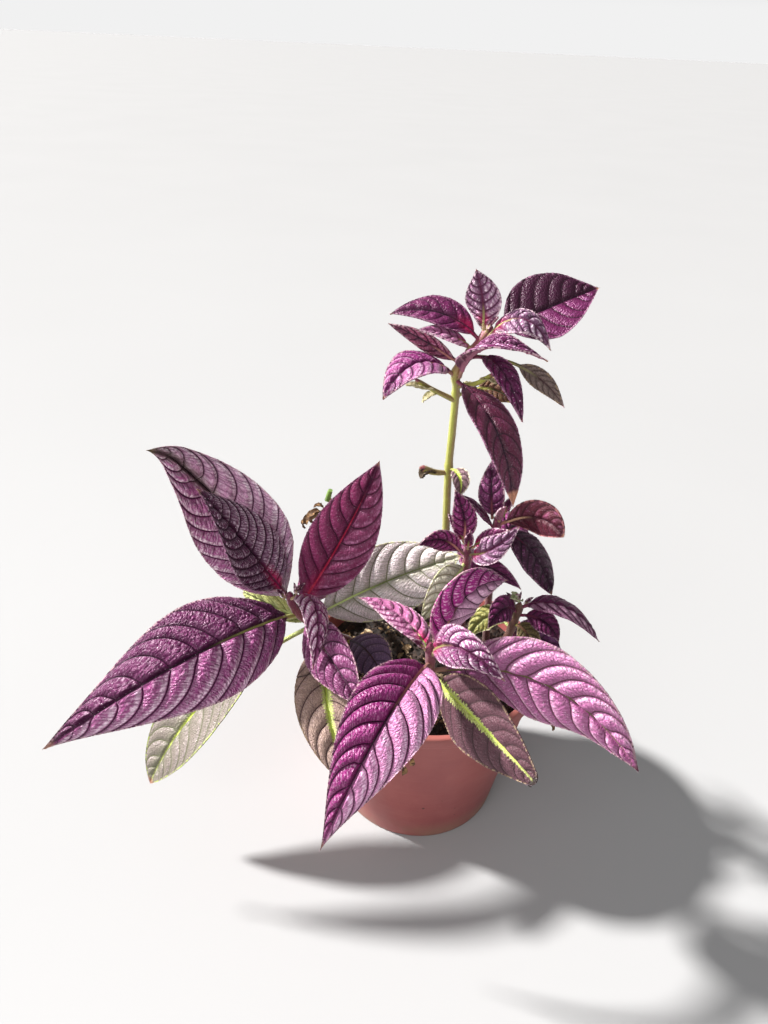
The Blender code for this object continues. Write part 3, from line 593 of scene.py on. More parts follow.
class Value:
    """A number, vector or colour in a node tree; what is worked out from it becomes nodes too."""

    def __init__(self, tree, socket):
        self.tree = tree
        self.socket = socket

    def math(self, operation, *values):
        """A calculation with these values, or with this one alone."""
        return add_node(self.tree, "Math", enumerate(values or [self]), operation=operation)[0]

    def __add__(self, other):
        return self.math("ADD", self, other)

    def __radd__(self, other):
        return self.math("ADD", other, self)

    def __sub__(self, other):
        return self.math("SUBTRACT", self, other)

    def __rsub__(self, other):
        return self.math("SUBTRACT", other, self)

    def __mul__(self, other):
        return self.math("MULTIPLY", self, other)

    def __truediv__(self, other):
        return self.math("DIVIDE", self, other)

    def __abs__(self):
        return self.math("ABSOLUTE")

    def ease(self, low, high, start=0.0, end=1.0):
        """From start below low to end above high, smooth between."""
        sockets = enumerate((self, low, high, start, end))
        return add_node(self.tree, "MapRange", sockets, interpolation_type="SMOOTHSTEP")[0]

    def mix(self, first, second):
        """From the first colour at 0 to the second at 1."""
        return add_node(self.tree, "Mix", {0: self, 6: first, 7: second}, data_type="RGBA")[2]

    def split(self):
        return add_node(self.tree, "SeparateXYZ", {0: self})

    def distance(self, centre):
        return add_node(self.tree, "VectorMath", {0: self, 1: centre}, operation="DISTANCE")[1]

    def mapped(self, **sockets):
        return add_node(self.tree, "Mapping", {"Vector": self, **sockets})[0]

    def noise(self, scale, detail=2.0, roughness=0.5):
        sockets = {"Vector": self, "Scale": scale, "Detail": detail, "Roughness": roughness}
        return add_node(self.tree, "TexNoise", sockets)[0]

    def cells(self, scale, feature="F1"):
        """Distance from the nearest cell's centre or edge, and the cell's own colour."""
        return add_node(self.tree, "TexVoronoi", {"Vector": self, "Scale": scale}, feature=feature)[:2]


class Graph:
    """A material under work: tones are painted over its first colour, and finish sets the shader."""

    def __init__(self, name, roughness, metallic=0.0, sheen=0.0, sheen_tint=WHITE):
        self.material = bpy.data.materials.new(name)
        self.material.use_nodes = True
        self.tree = self.material.node_tree
        self.colour = None
        self.shade({"Roughness": roughness, "Metallic": metallic, "Sheen Weight": sheen,
                    "Sheen Tint": sheen_tint})

    def shade(self, sockets):
        for name, value in sockets.items():
            put(self.tree, self.tree.nodes["Principled BSDF"].inputs[name], value)

    def layer(self, name):
        return add_node(self.tree, "UVMap", uv_map=name)[0]

    def place(self):
        return add_node(self.tree, "TexCoord")[3]

    def paint(self, share, tone):
        self.colour = share.mix(self.colour, tone)

    def bump(self, height, distance, strength=1.0):
        sockets = {"Height": height, "Distance": distance * MM, "Strength": strength}
        self.shade({"Normal": add_node(self.tree, "Bump", sockets)[0]})

    def finish(self, **sockets):
        self.shade({"Base Color": self.colour, **sockets})
        return self.material


def upper_material(name, look, detail, cells_across, shift):
    """Upper face of a leaf; the shift makes its clouds and dots its own."""
    graph = Graph(name, look.roughness, look.metallic, look.sheen, LEAF_SHEEN)
    graph.shade({"Specular IOR Level": look.gloss})
    to_vein, to_midrib, _ = graph.layer("lines").split()
    along, across, _ = graph.layer("leaf").split()
    rung, crown, _ = graph.layer("ladder").split()
    place = graph.layer("place").mapped(Location=(shift, 0.7 * shift, 0.0))
    patches = place.noise(0.13, 3.0)
    clouds = place.noise(0.45, 3.0, 0.6)
    grain = place.noise(1.7, 4.0, 0.6)
    right = across.ease(-0.02, 0.02)
    outward = abs(across)

    # Each half's painted light and shade, towards pale or deep as its look sets; then deep by the veins and
    # the midrib.
    away = (to_vein + grain * 0.4).ease(0.2, 0.65)
    # The band along the midrib is partly the leaf's own dark zone and partly painted shade in the fold.
    middle = to_midrib.ease(0.3, 3.0, 1.0 - look.dark_middle, 1.0)
    graph.colour = look.crest
    for sign, end in ((1, look.pale), (-1, look.deep)):
        left_share = max(0.0, sign * look.painted_light_left)
        right_share = max(0.0, sign * look.painted_light_right)
        if left_share or right_share:
            graph.paint(right.ease(0.0, 1.0, left_share, right_share), end)
    graph.colour = (away * middle).mix(look.deep, graph.colour)
    graph.paint(clouds.ease(0.42, 0.68, 0.0, 0.3), look.deep)

    # Painted sheen and highlight: pale patches on the base side of each tier, as much on each half as its
    # look sets.
    level = patches * 0.55 + clouds * 0.45
    bare = 0.86 - right.ease(0.0, 1.0, look.painted_sheen_left, look.painted_sheen_right) * 0.62
    beside = to_vein.ease(0.2, 0.7) * to_vein.ease(0.9, 2.6, 1.0, 0.2)
    bricks, _ = graph.layer("ladder").mapped(Scale=(1.0, cells_across, 1.0)).cells(1.0)
    base_side = crown.ease(0.15, 0.85, 1.0, 0.25)
    light = (level - bare).ease(-0.12, 0.12) * beside * to_midrib.ease(0.5, 2.5)
    graph.paint(light * bricks.ease(0.15, 0.55, 1.0, 0.4) * base_side, look.pale)

    # Rungs across the tiers: painted shade in the hollows between them and on the tip side of each tier.
    from_rung = abs(rung.math("FRACT") - 0.5)
    graph.paint(from_rung.ease(0.30, 0.49, 0.0, look.rung) * outward.ease(0.03, 0.15), look.deep)
    graph.paint(crown.ease(0.5, 1.0, 0.0, 0.3), look.deep)

    # Painted highlights on the rungs' ridges, broken up along the tier.
    kept = right.ease(0.0, 1.0, 1 + min(0, look.painted_light_left), 1 + min(0, look.painted_light_right))
    ridge_highlight = from_rung.ease(0.10, 0.38, look.ridge_highlight, 0.0) * kept * place.noise(0.62, 3.0).ease(0.44, 0.56)
    by_vein = to_vein.ease(0.25, 0.6) * to_vein.ease(0.9, 3.2, 1.0, 0.4)
    graph.paint(ridge_highlight * base_side * by_vein * to_midrib.ease(0.5, 1.8), look.pale)

    # The fine net of small veins.
    edge_distance, _ = place.cells(0.95, "DISTANCE_TO_EDGE")
    graph.paint(edge_distance.ease(0.02, 0.14, look.net, 0.0), look.vein)

    if look.green:
        graph.paint((to_midrib + clouds * 6.0).ease(3.5, 8.5, look.green, 0.0), FADED_GREEN)
    if look.crimson:
        base = along.ease(0.06, 0.30, look.crimson, 0.0)
        graph.paint(base * to_midrib.ease(1.0, 5.0, 1.0, 0.0), CRIMSON)

    vein_line = (to_vein + grain * 0.2).ease(0.10 * look.vein_width, 0.28 * look.vein_width, 0.6, 0.0)
    graph.paint(vein_line * along.ease(0.0, 0.05), look.vein)

    # A feathered lime band along the midrib, and the midrib itself.
    rib_colour = along.ease(look.midrib_until - 0.27, look.midrib_until).mix(look.midrib, look.vein)
    if look.lime:
        jag = (place.split()[0] * 0.62 + clouds * 1.5).math("FRACT")
        limit = along.ease(0.0, 0.95, 4.0, 0.7) * look.lime * (0.35 + jag * 0.6 + clouds * 0.6)
        graph.paint((limit - to_midrib).ease(-0.25, 0.35), grain.ease(0.35, 0.65).mix(*LIME_BAND))
        rib_colour = along.ease(0.7, 0.95).mix(LIME_RIB, look.vein)
    rib = (to_midrib - along.ease(0.0, 1.0, 0.6, 0.22)).ease(-0.25, 0.15, 1.0, 0.0)
    graph.paint(rib * along.ease(0.85, 0.98, 1.0, 0.0), rib_colour)

    # Painted glints in dots, a beaded margin, the dry tip and the stalk.
    dots, dot_colour = place.cells(1.25)
    pick = dot_colour.split()[0]
    graph.paint(dots.ease(0.10, 0.20, look.painted_glint, 0.0) * pick.ease(0.55, 0.6) * away, GLINT)
    beads = place.mapped(Scale=(1.0, 0.25, 1.0)).noise(0.9, 1.0)
    to_edge = to_midrib / outward - to_midrib
    rim = to_edge.ease(0.25, 0.95, 1.0, 0.0) * beads.ease(0.44, 0.56, 0.05, 0.85)
    graph.paint(rim * along.ease(0.0, 0.03), look.edge)
    paint_ends(graph, along, look)

    slope = (1.0 - crown) * crown
    on_hill = slope.ease(0.0, 0.14) * to_midrib.ease(0.6, 2.2)
    hills = bricks * on_hill * (-2.3 * detail.rung_height)
    pebbles, _ = place.cells(1.45)
    graph.bump(hills + pebbles * -0.28 + grain * 0.12, 1.0)
    return graph.finish(Roughness=look.roughness - 0.08 + grain * 0.2 + vein_line * 0.15)


def paint_ends(graph, along, look):
    """The dry tip and the stalk, which lies before the blade's start."""
    graph.paint(along.ease(look.tip_from, look.tip_from + 0.035), look.tip)
    graph.paint(along.ease(-0.3, 0.02, 1.0, 0.0), look.stalk)


def lower_material(name, look, shift):
    """Lower face of a leaf, with its raised veins and net."""
    graph = Graph(name, 0.5, 0.0, 0.2, UNDER_SHEEN)
    to_vein, to_midrib, _ = graph.layer("lines").split()
    along, _, _ = graph.layer("leaf").split()
    place = graph.layer("place").mapped(Location=(shift, 0.7 * shift, 0.0))
    grain = place.noise(1.7, 4.0, 0.6)
    graph.colour = place.noise(0.3, 3.0, 0.6).ease(0.35, 0.65).mix(darker(look.under, 0.62), look.under)
    edge_distance, _ = place.cells(0.8, "DISTANCE_TO_EDGE")
    graph.paint(edge_distance.ease(0.02, 0.15, 0.35, 0.0), look.under_vein)
    graph.paint(to_vein.ease(0.2, 0.7, 0.85, 0.0), look.under_vein)
    beyond_rib = to_midrib - along.ease(0.0, 1.0, 1.3, 0.35)
    graph.paint(beyond_rib.ease(-0.3, 0.2, 1.0, 0.0), look.under_vein)
    paint_ends(graph, along, look)
    graph.bump(edge_distance * -0.8 + grain * 0.4, 0.14, 0.7)
    return graph.finish(Roughness=grain.ease(0.3, 0.7, 0.42, 0.6))


def unit(vectors):
    """Each vector at a length of 1."""
    vectors = np.asarray(vectors, float)
    return vectors / np.maximum(np.linalg.norm(vectors, axis=-1, keepdims=True), 1e-9)


def ease(value, low, high):
    """0 below low, 1 above high, smooth between."""
    share = np.clip((np.asarray(value, float) - low) / (high - low), 0.0, 1.0)
    return share * share * (3 - 2 * share)


def rounded_path(points, step):
    """Sample a Catmull-Rom curve through the points, about one sample per step."""
    points = np.array(points, float)
    ends = np.vstack([2 * points[0] - points[1], points, 2 * points[-1] - points[-2]])
    samples = []
    for index in range(len(points) - 1):
        before, start, end, after = ends[index:index + 4]
        count = max(1, round(np.linalg.norm(end - start) / step))
        share = (np.arange(count) / count)[:, None]
        samples.append(0.5 * (2 * start + (end - before) * share
                              + (2 * before - 5 * start + 4 * end - after) * share ** 2
                              + (3 * start - before - 3 * end + after) * share ** 3))
    return np.vstack([*samples, points[-1]])


def stem_path(stem):
    """The stem's path, straight down into its soil hole and rounded above it."""
    x, y, _ = stem.points[0]
    foot = (x, y, SOIL_TOP - STEM_HOLE_DEPTH + 1.0)
    return np.vstack([foot, rounded_path(stem.points, STEM_STEP)])


def stem_radii(stem, path):
    """The stem's radius at each point, tapered with its height."""
    share = (path[:, 2] - path[0, 2]) / (path[-1, 2] - path[0, 2])
    return stem.bottom_radius + (stem.top_radius - stem.bottom_radius) * share


def stem_at(stem, height):
    """Centre, direction and radius of a stem at a height."""
    path = stem_path(stem)
    index = int(np.clip(np.searchsorted(path[:, 2], height) - 1, 0, len(path) - 2))
    share = (height - path[index, 2]) / (path[index + 1, 2] - path[index, 2])
    step = path[index + 1] - path[index]
    radii = stem_radii(stem, path)
    return path[index] + share * step, unit(step), radii[index] + share * (radii[index + 1] - radii[index])


def leaf_points(leaf):
    """Root, middle and tip of the midrib."""
    centre, direction, radius = stem_at(STEMS[leaf.stem], leaf.height)
    heading = math.radians(leaf.heading)
    forward = np.array([math.cos(heading), math.sin(heading), 0.0])
    side = np.array([-math.sin(heading), math.cos(heading), 0.0])
    chord = leaf.reach * forward + np.array([0.0, 0.0, leaf.climb])
    above = np.cross(unit(chord), side)
    to_middle = leaf.bend * chord + leaf.arch * above + leaf.sway * side
    start = unit(to_middle)
    lean = start @ direction
    root = centre + unit(start - lean * direction) * (radius + GAP + STALK_RADIUS * abs(lean))
    return root, root + to_middle, root + chord


def leaf_frame(leaf, along):
    """Points on the midrib, the way across the blade and the way up from it."""
    root, middle, tip = leaf_points(leaf)
    control = 2 * middle - (root + tip) / 2
    share = np.asarray(along, float)[..., None]
    centre = (1 - share) ** 2 * root + 2 * share * (1 - share) * control + share ** 2 * tip
    direction = unit((1 - share) * (control - root) + share * (tip - control))
    reference = unit(REFERENCE_UP)
    up = unit(reference - (direction @ reference)[..., None] * direction)
    across = np.cross(direction, up)
    angle = np.radians(leaf.roll + leaf.twist * (share - 0.5))
    return centre, across * np.cos(angle) - up * np.sin(angle), up * np.cos(angle) + across * np.sin(angle)


def leaf_length(leaf):
    """Length of the midrib with its stalk, measured over its middle."""
    root, middle, tip = leaf_points(leaf)
    return np.linalg.norm(middle - root) + np.linalg.norm(tip - middle)


def half_width(leaf, along):
    """Half of the blade's width: widest near two fifths, drawn out to a point."""
    widest = BASE_FULLNESS / (BASE_FULLNESS + leaf.sharpness)
    shape = (along / widest) ** BASE_FULLNESS * ((1 - along) / (1 - widest)) ** leaf.sharpness
    return leaf.width / 2 * shape


def vein_number(leaf):
    """Side veins on each half of the blade."""
    return int(np.clip(round(6.5 + leaf_length(leaf) / 22), 7, 12))


def stalk_radius(leaf):
    """Thicker under wide blades."""
    return float(np.clip(0.55 + leaf.width / 60, 0.6, 1.15))


def vein_bow(outward):
    """Share of a side vein's forward sweep that it has made at a place between midrib and margin."""
    return VEIN_LEAN * outward + (1 - VEIN_LEAN) * outward ** 3


def blade_columns(leaf):
    """Places across the blade, -1 to 1, evenly spaced along a side vein and close at the midrib."""
    half = leaf.width / 2
    across = np.linspace(0, 1, 200)
    forward = VEIN_SWEEP * math.sqrt(0.45) * 0.55 * leaf_length(leaf) * vein_bow(across)
    path = np.concatenate([[0], np.cumsum(np.hypot(np.diff(across) * half, np.diff(forward)))])
    step = FINE_STEP + (COARSE_STEP - FINE_STEP) * float(ease(leaf.width, 14, 32))
    near = np.array(MIDRIB_COLUMNS) * min(1.0, half / 9)
    count = max(8, round((path[-1] - near[-1]) / step))
    distances = np.concatenate([near, np.linspace(near[-1], path[-1], count + 1)[1:]])
    one_side = np.interp(distances, path, across)
    return np.concatenate([-one_side[::-1], [0.0], one_side])


class BladeGrid:
    """The grid of points on a leaf's blade: rows follow the side veins, columns run from margin to margin."""

    def __init__(self, leaf, detail, seed):
        self.leaf = leaf
        self.detail = detail
        self.chance = np.random.default_rng(seed)
        self.length = leaf_length(leaf) * (1 - leaf.stalk)
        self.veins = detail.veins or vein_number(leaf)
        self.columns = np.linspace(-1, 1, BUD_COLUMNS) if detail.coarse else blade_columns(leaf)
        self.outward = np.abs(self.columns)[None, :]
        self.place_rows()
        self.place_points()

    def place_rows(self):
        """Rows lie at shares of each gap between two side veins; each half has veins of its own."""
        places = (np.arange(self.veins) + 0.5) / self.veins
        widths = 0.55 + 0.9 * np.sin(math.pi * places ** 0.8)
        marks = np.tile(np.concatenate([[0.0], np.cumsum(widths) / widths.sum()]), (3, 1))
        shifts = self.chance.uniform(-1, 1, marks.shape) / self.veins
        shifts *= [[VEIN_JITTER], [VEIN_SHIFT], [VEIN_SHIFT]]
        shifts[:, [0, -1]] = 0
        marks += shifts[0]
        marks[1:] += shifts[1:]
        first = BUD_ROW_SHARES if self.detail.coarse else FIRST_ROW_SHARES
        others = BUD_ROW_SHARES if self.detail.coarse else ROW_SHARES
        self.shares = np.array([*first, *others * (self.veins - 1), 1.0])[:, None]
        gaps = np.repeat(np.arange(self.veins), [len(first)] + [len(others)] * (self.veins - 1))
        self.gaps = np.append(gaps, self.veins - 1)
        starts = marks[:, self.gaps]
        middle, left, right = starts + self.shares[:, 0] * (marks[:, self.gaps + 1] - starts)
        side = np.where(self.columns[None, :] < 0, left[:, None], right[:, None])
        self.start = middle[:, None] + (side - middle[:, None]) * ease(self.outward, 0.02, 0.25)
        sweep = VEIN_SWEEP * np.sqrt(self.start) * (1 - self.start)
        self.along = np.clip(self.start + sweep * vein_bow(self.outward), 0.0, 1.0)

    def half(self):
        """Half width of each point's row, with the midrib's cord at the base and teeth on the margin."""
        cord = stalk_radius(self.leaf) * np.clip(1 - self.along / 0.35, 0, 1)
        half = np.sqrt(half_width(self.leaf, self.along) ** 2 + cord ** 2 + TIP_HALF_WIDTH ** 2)
        rows = len(self.gaps)
        teeth = TOOTH * (np.arange(rows) % 2)[:, None] * self.chance.uniform(0.5, 1.2, (rows, 1))
        return half + teeth * (self.outward > 0.999) * ease(half, 2.0, 5.0)

    def place_points(self):
        """Points of the smooth blade, and the relief over it."""
        leaf = self.leaf
        half = self.half()
        self.x = self.length * self.along
        self.y = half * self.columns
        self.to_midrib = np.abs(self.y)
        self.to_vein = self.vein_distance()
        centre, sideways, self.upward = self.midrib_frame()
        fold = math.radians(leaf.fold)
        lift = half * self.outward * math.sin(fold) - leaf.curl * half * self.outward ** 2
        phase = 4 * math.pi * self.along + 1.7 * (self.columns > 0)
        lift = lift + leaf.wave * self.outward ** 3 * np.sin(phase) + self.undulation()
        self.smooth = centre + sideways * (self.y * math.cos(fold))[..., None] + self.upward * lift[..., None]
        self.relief = self.ribs()

    def midrib_frame(self):
        """Frame of the midrib, with the end of the blade rolled up or turned aside where it has dried."""
        detail = self.detail
        stalk = self.leaf.stalk
        angle = detail.tip_curl or detail.tip_swing
        straight = np.minimum(self.along, detail.tip_start) if angle else self.along
        centre, sideways, upward = leaf_frame(self.leaf, stalk + (1 - stalk) * straight)
        if not angle:
            return centre, sideways, upward
        forward = np.cross(upward, sideways)
        bend = angle / ((1 - detail.tip_start) * self.length)
        turn = (bend * self.length * (self.along - straight))[..., None]
        towards = upward if detail.tip_curl else sideways
        centre = centre + (forward * np.sin(turn) + towards * (1 - np.cos(turn))) / bend
        towards = towards * np.cos(turn) - forward * np.sin(turn)
        return (centre, sideways, towards) if detail.tip_curl else (centre, towards, upward)

    def vein_distance(self):
        """Distance along the surface from the nearest side vein."""
        start_steps = np.maximum(np.gradient(self.start, axis=0), 1e-5)
        x_row, y_row = (np.gradient(values, axis=0) / start_steps for values in (self.x, self.y))
        x_column, y_column = (np.gradient(values, axis=1) / np.gradient(self.columns)
                              for values in (self.x, self.y))
        area = np.abs(x_row * y_column - x_column * y_row)
        pace = np.maximum(np.hypot(x_column, y_column), 1e-3)
        self.gap_width = area / pace / self.veins
        self.gap_slant = np.sign(self.columns) * (x_row * x_column + y_row * y_column) / pace / self.veins
        return np.minimum(self.shares, 1 - self.shares) * self.gap_width

    def undulation(self):
        """Slight unevenness that no two leaves share."""
        lift = 0.0
        for waves in (1.3, 2.2, 3.7):
            turn, left_turn = self.chance.uniform(0, 2 * math.pi, 2)
            phase = 2 * math.pi * waves * self.along + turn + np.where(self.columns < 0, left_turn, 0.0)
            lift = lift + np.sin(phase) / waves
        return lift * self.outward ** 1.5 * self.detail.uneven * min(1.0, self.leaf.width / 30)

    def ribs(self):
        """Height of the quilted surface: rounded between the side veins, with small rungs across."""
        detail = self.detail
        steps = np.hypot(np.diff(self.x, axis=1), np.diff(self.y, axis=1))
        run = np.concatenate([np.zeros((len(self.gaps), 1)), np.cumsum(steps, axis=1)], axis=1)
        run = np.abs(run - run[:, [len(self.columns) // 2]])
        self.rung = self.rung_phase(run + (self.shares - 0.5) * self.gap_slant, self.gaps, self.shares)
        self.rung_before = self.rung_phase(run + 0.5 * self.gap_slant, np.maximum(self.gaps - 1, 0), 1.0)
        crown = 1 - np.abs(2 * self.shares - 1) ** RIB_ROUNDNESS
        shelter = ease(self.to_midrib, 0.25, 1.6) * (1 - 0.8 * self.outward ** 5)
        shelter = shelter * ease(self.along, 0.0, 0.06) * self.thinning()
        height = detail.quilting * RIB_HEIGHT * np.minimum(self.gap_width, 1.15 * self.length / self.veins)
        rungs = 0.7 * detail.rung_height * (0.5 - 0.5 * np.cos(math.pi * self.rung)) * crown ** 0.3
        groove = 0.35 * np.exp(-(self.to_midrib / 0.6) ** 2) * (1 - ease(self.along, 0.75, 1.0))
        return (height * crown + rungs) * shelter - groove * ease(self.along, 0.1, 0.4)

    def rung_phase(self, run, gaps, shares):
        """Number of rungs crossed on the way out from the midrib, uneven from tier to tier."""
        turns = np.random.default_rng(7).uniform(0, 1, (4, self.veins))[:, gaps, None]
        left = self.columns < 0
        first = np.where(left, turns[0], turns[1])
        second = np.where(left, turns[2], turns[3])
        bow = 0.22 * np.sin(math.pi * shares + 6.3 * second)
        drift = 0.45 * np.sin(0.62 * run + 6.3 * first) + 0.3 * np.sin(0.23 * run + 6.3 * second)
        break_up = 0.16 * np.sin(9.4 * shares + 1.2 * run + 6.3 * first)
        return run / self.detail.rung_spacing + first + bow + drift + break_up

    def thinning(self):
        """The blade and its relief thin out towards the tip."""
        return 1 - 0.75 * ease(self.along, 0.9, 1.0)

    def upper(self):
        """Points of the upper face, with the stalk's cord running out on it and a thicker rim."""
        radius = stalk_radius(self.leaf)
        cord = 0.9 * radius * (1 - ease(self.along, 0.0, 0.2))
        cord = cord * np.sqrt(np.clip(1 - (self.to_midrib / radius) ** 2, 0, 1))
        rim = 0.2 * ease(self.outward, 0.955, 0.99)
        lift = (TOP_OFFSET + rim + cord) * self.thinning() + self.relief
        return self.smooth + self.upward * lift[..., None]

    def lower(self):
        """Points of the lower face, with ridges under the midrib and the side veins."""
        radius = stalk_radius(self.leaf) * (1 - 0.8 * self.along)
        ridge = 1.1 * radius * np.exp(-(self.to_midrib / np.maximum(radius, 0.25)) ** 2)
        side_ridges = 0.3 * np.exp(-(self.to_vein / 0.45) ** 2) * (1 - self.outward ** 4)
        drop = (BOTTOM_OFFSET + ridge + side_ridges) * self.thinning() - 0.85 * self.relief
        return self.smooth - self.upward * drop[..., None]


def stalk_rows(leaf):
    """Sections of the stalk from inside the stem up to the blade, as shares of the midrib."""
    length = leaf_length(leaf)
    inside = -(GAP + 0.8) / length
    count = max(3, round((leaf.stalk - inside) * length / 1.5))
    return np.linspace(inside, leaf.stalk, count + 1)[:-1, None]


def leaf_points_of_grid(grid):
    """Upper and lower points with the stalk's rows first, and the layers that the materials read."""
    leaf = grid.leaf
    radius = stalk_radius(leaf)
    shares = stalk_rows(leaf)
    rows = len(shares)
    turn = grid.columns * math.pi / 2
    centre, sideways, upward = leaf_frame(leaf, shares)
    across = radius * np.sin(turn)
    edge = centre + sideways * across[:, None]
    thickness = upward * (0.9 * radius * np.cos(turn) + 0.05)[:, None]

    def joined(stalk, blade):
        """Rows of the stalk and then of the blade, each filled across all columns."""
        return np.concatenate([np.broadcast_to(stalk, (rows, len(turn))),
                               np.broadcast_to(blade, grid.along.shape)])

    layers = {
        "lines": (joined(9, grid.to_vein), joined(np.abs(across), grid.to_midrib)),
        "place": (joined((shares - leaf.stalk) * leaf_length(leaf), grid.x), joined(across, grid.y)),
        "leaf": (joined(np.arange(rows)[:, None] / rows - 1, grid.along), joined(grid.columns, grid.columns)),
        "ladder": (joined(0.5, grid.rung), joined(0.5, grid.shares)),
    }
    # A row that opens a gap still ends the gap before it, so it has second values for that side.
    opens_gap = joined(False, (grid.shares == 0) & (grid.gaps > 0)[:, None])
    rung, share = layers["ladder"]
    late = {**layers, "ladder": (np.where(opens_gap, joined(0.5, grid.rung_before), rung),
                                 np.where(opens_gap, 1.0, share))}
    upper = np.concatenate([edge + thickness, grid.upper()])
    lower = np.concatenate([edge - thickness, grid.lower()])
    return upper, lower, layers, late


def grid_quads(rows, columns):
    """Faces between the points of a grid."""
    row, column = np.meshgrid(np.arange(rows - 1), np.arange(columns - 1), indexing="ij")
    first = (row * columns + column).ravel()
    return np.stack([first, first + 1, first + columns + 1, first + columns], axis=1)


def lower_columns(count):
    """Every third column is enough on the lower face, and the ones by the midrib and the margins."""
    middle = count // 2
    return np.array(sorted({*range(0, count, 3), *range(middle - 2, middle + 3), 0, count - 1}))


def make_leaf(name, leaf, detail, looks, seed):
    """A leaf as one closed mesh: upper face, coarser lower face, margins and both ends."""
    grid = BladeGrid(leaf, detail, seed)
    upper, lower, layers, late = leaf_points_of_grid(grid)
    rows, columns = upper.shape[:2]
    kept = lower_columns(columns)
    fewer = len(kept)
    vertices = np.concatenate([upper.reshape(-1, 3), lower[:, kept].reshape(-1, 3)])
    below = rows * columns
    # The upper point that each vertex takes its layers from.
    source = np.concatenate([np.arange(below), (np.arange(rows)[:, None] * columns + kept).ravel()])
    first = np.arange(rows - 1) * columns
    low = below + np.arange(rows - 1) * fewer
    top = grid_quads(rows, columns)
    bottom = below + grid_quads(rows, fewer)[:, ::-1]
    left = np.stack([first, first + columns, low + fewer, low], axis=1)
    right = np.stack([first + 2 * columns, first + columns, low + fewer, low + 2 * fewer], axis=1) - 1
    quads = np.concatenate([top, bottom, left, right])
    end = len(vertices) - 1
    caps = [[*range(columns - 1, -1, -1), *range(below, below + fewer)],
            [*range(below - columns, below), *range(end, end - fewer, -1)]]
    slots = [0] * len(top) + [1] * len(bottom) + [0] * 2 * rows
    item = mesh_piece(name.replace("leaf", "blade"), vertices, quads.tolist() + caps, looks, slots)
    cells = source[np.concatenate([quads.ravel(), *caps])]
    corner_rows = source[quads] // columns
    is_late = np.zeros(len(cells), bool)
    is_late[:quads.size] = (corner_rows > corner_rows.min(axis=1, keepdims=True)).ravel()
    for layer, pair in layers.items():
        values = [np.where(is_late, after.ravel()[cells], before.ravel()[cells])
                  for before, after in zip(pair, late[layer])]
        add_layer(item, layer, np.stack(values, axis=1))
    counts = [4 * len(part) for part in (top, bottom, left, right)]
    add_layer(item, "OFBake", bake_places(grid.columns, rows, cells, counts))
    return grid


def bake_places(columns, rows, cells, counts):
    """Upper face on the left half of the square, lower face on the right half, margins in two strips."""
    faces = counts[0] + counts[1]
    quads = sum(counts)
    across = (columns[cells[:faces] % len(columns)] + 1) / 2
    strips = np.tile([0.0, 0.0, 0.006, 0.006], (quads - faces) // 4)
    u = np.repeat([0.01, 0.525, 0.484, 0.506], counts) + np.concatenate([0.465 * across, strips])
    v = 0.01 + 0.97 * (cells[:quads] // len(columns) / (rows - 1))
    turn = np.linspace(0, 2 * math.pi, len(cells) - quads)
    ends = 0.995 + 0.003 * np.array([np.cos(turn), np.sin(turn)])
    return np.concatenate([[u, v], ends], axis=1).T


def mesh_piece(name, vertices, faces, materials, slots=None, sharp=60):
    """A mesh object in metres from points in millimetres, riding on the one body; edges over sharp stay."""
    mesh = bpy.data.meshes.new(name)
    mesh.from_pydata((np.asarray(vertices, float) * MM).tolist(), [], faces)
    mesh.shade_smooth()
    if sharp:
        mesh.set_sharp_from_angle(angle=math.radians(sharp))
    for material in materials:
        mesh.materials.append(material)
    if slots is not None:
        mesh.polygons.foreach_set("material_index", slots)
    mesh.update()
    item = bpy.data.objects.new(name, mesh)
    bpy.context.scene.collection.objects.link(item)
    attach(item, "root")
    return item


def add_layer(item, name, values):
    """A UV layer from one pair of values for each corner."""
    layer = item.data.uv_layers.new(name=name)
    layer.uv.foreach_set("vector", np.ascontiguousarray(values, dtype=np.float32).ravel())


def make_leaves():
    """A blade in place of every solid leaf; each leaf's number sets its chance and its clouds."""
    grids = []
    for number, (name, leaf) in enumerate(LEAVES.items()):
        look = leaf_look(name)
        detail = DETAILS.get(name, PLAIN)
        shift = 37.0 * number
        cells_across = 0.6 * leaf_length(leaf) / vein_number(leaf) / detail.rung_spacing
        materials = [upper_material(name + " upper", look, detail, cells_across, shift),
                     lower_material(name + " lower", look, shift)]
        grids.append(make_leaf(name, leaf, detail, materials, 100 + number))
        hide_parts(name)
    return grids


def stem_material(name, young, old, freckle, top=None, shaded=None):
    """Runs from the old colour at the foot to the young one at the top, and one side may carry painted shade.
    """
    graph = Graph(name, 0.45, 0.0, 0.25)
    share, around, _ = graph.layer("leaf").split()
    place = graph.layer("place")
    streaks = place.mapped(Scale=(0.12, 1.0, 1.0)).noise(1.1, 3.0)
    clouds = place.noise(0.12)
    graph.colour = (share + clouds * 0.5 - 0.25).ease(0.1, 0.75).mix(old, young)
    if shaded:
        # Painted shade on one side of the stem.
        facing = (around * (2 * math.pi)).math("COSINE")
        graph.paint((facing + clouds).ease(0.5, -0.4, 0.0, 0.8), shaded)
    if top:
        graph.paint(share.ease(0.84, 0.92), top)
    graph.paint(streaks.ease(0.45, 0.7, 0.0, 0.5), old)
    dots, _ = place.cells(0.9)
    graph.paint(dots.ease(0.12, 0.25, 0.6, 0.0), freckle)
    graph.bump(streaks + dots * 0.4, 0.25, 0.6)
    return graph.finish(Roughness=streaks.ease(0.3, 0.7, 0.38, 0.55))


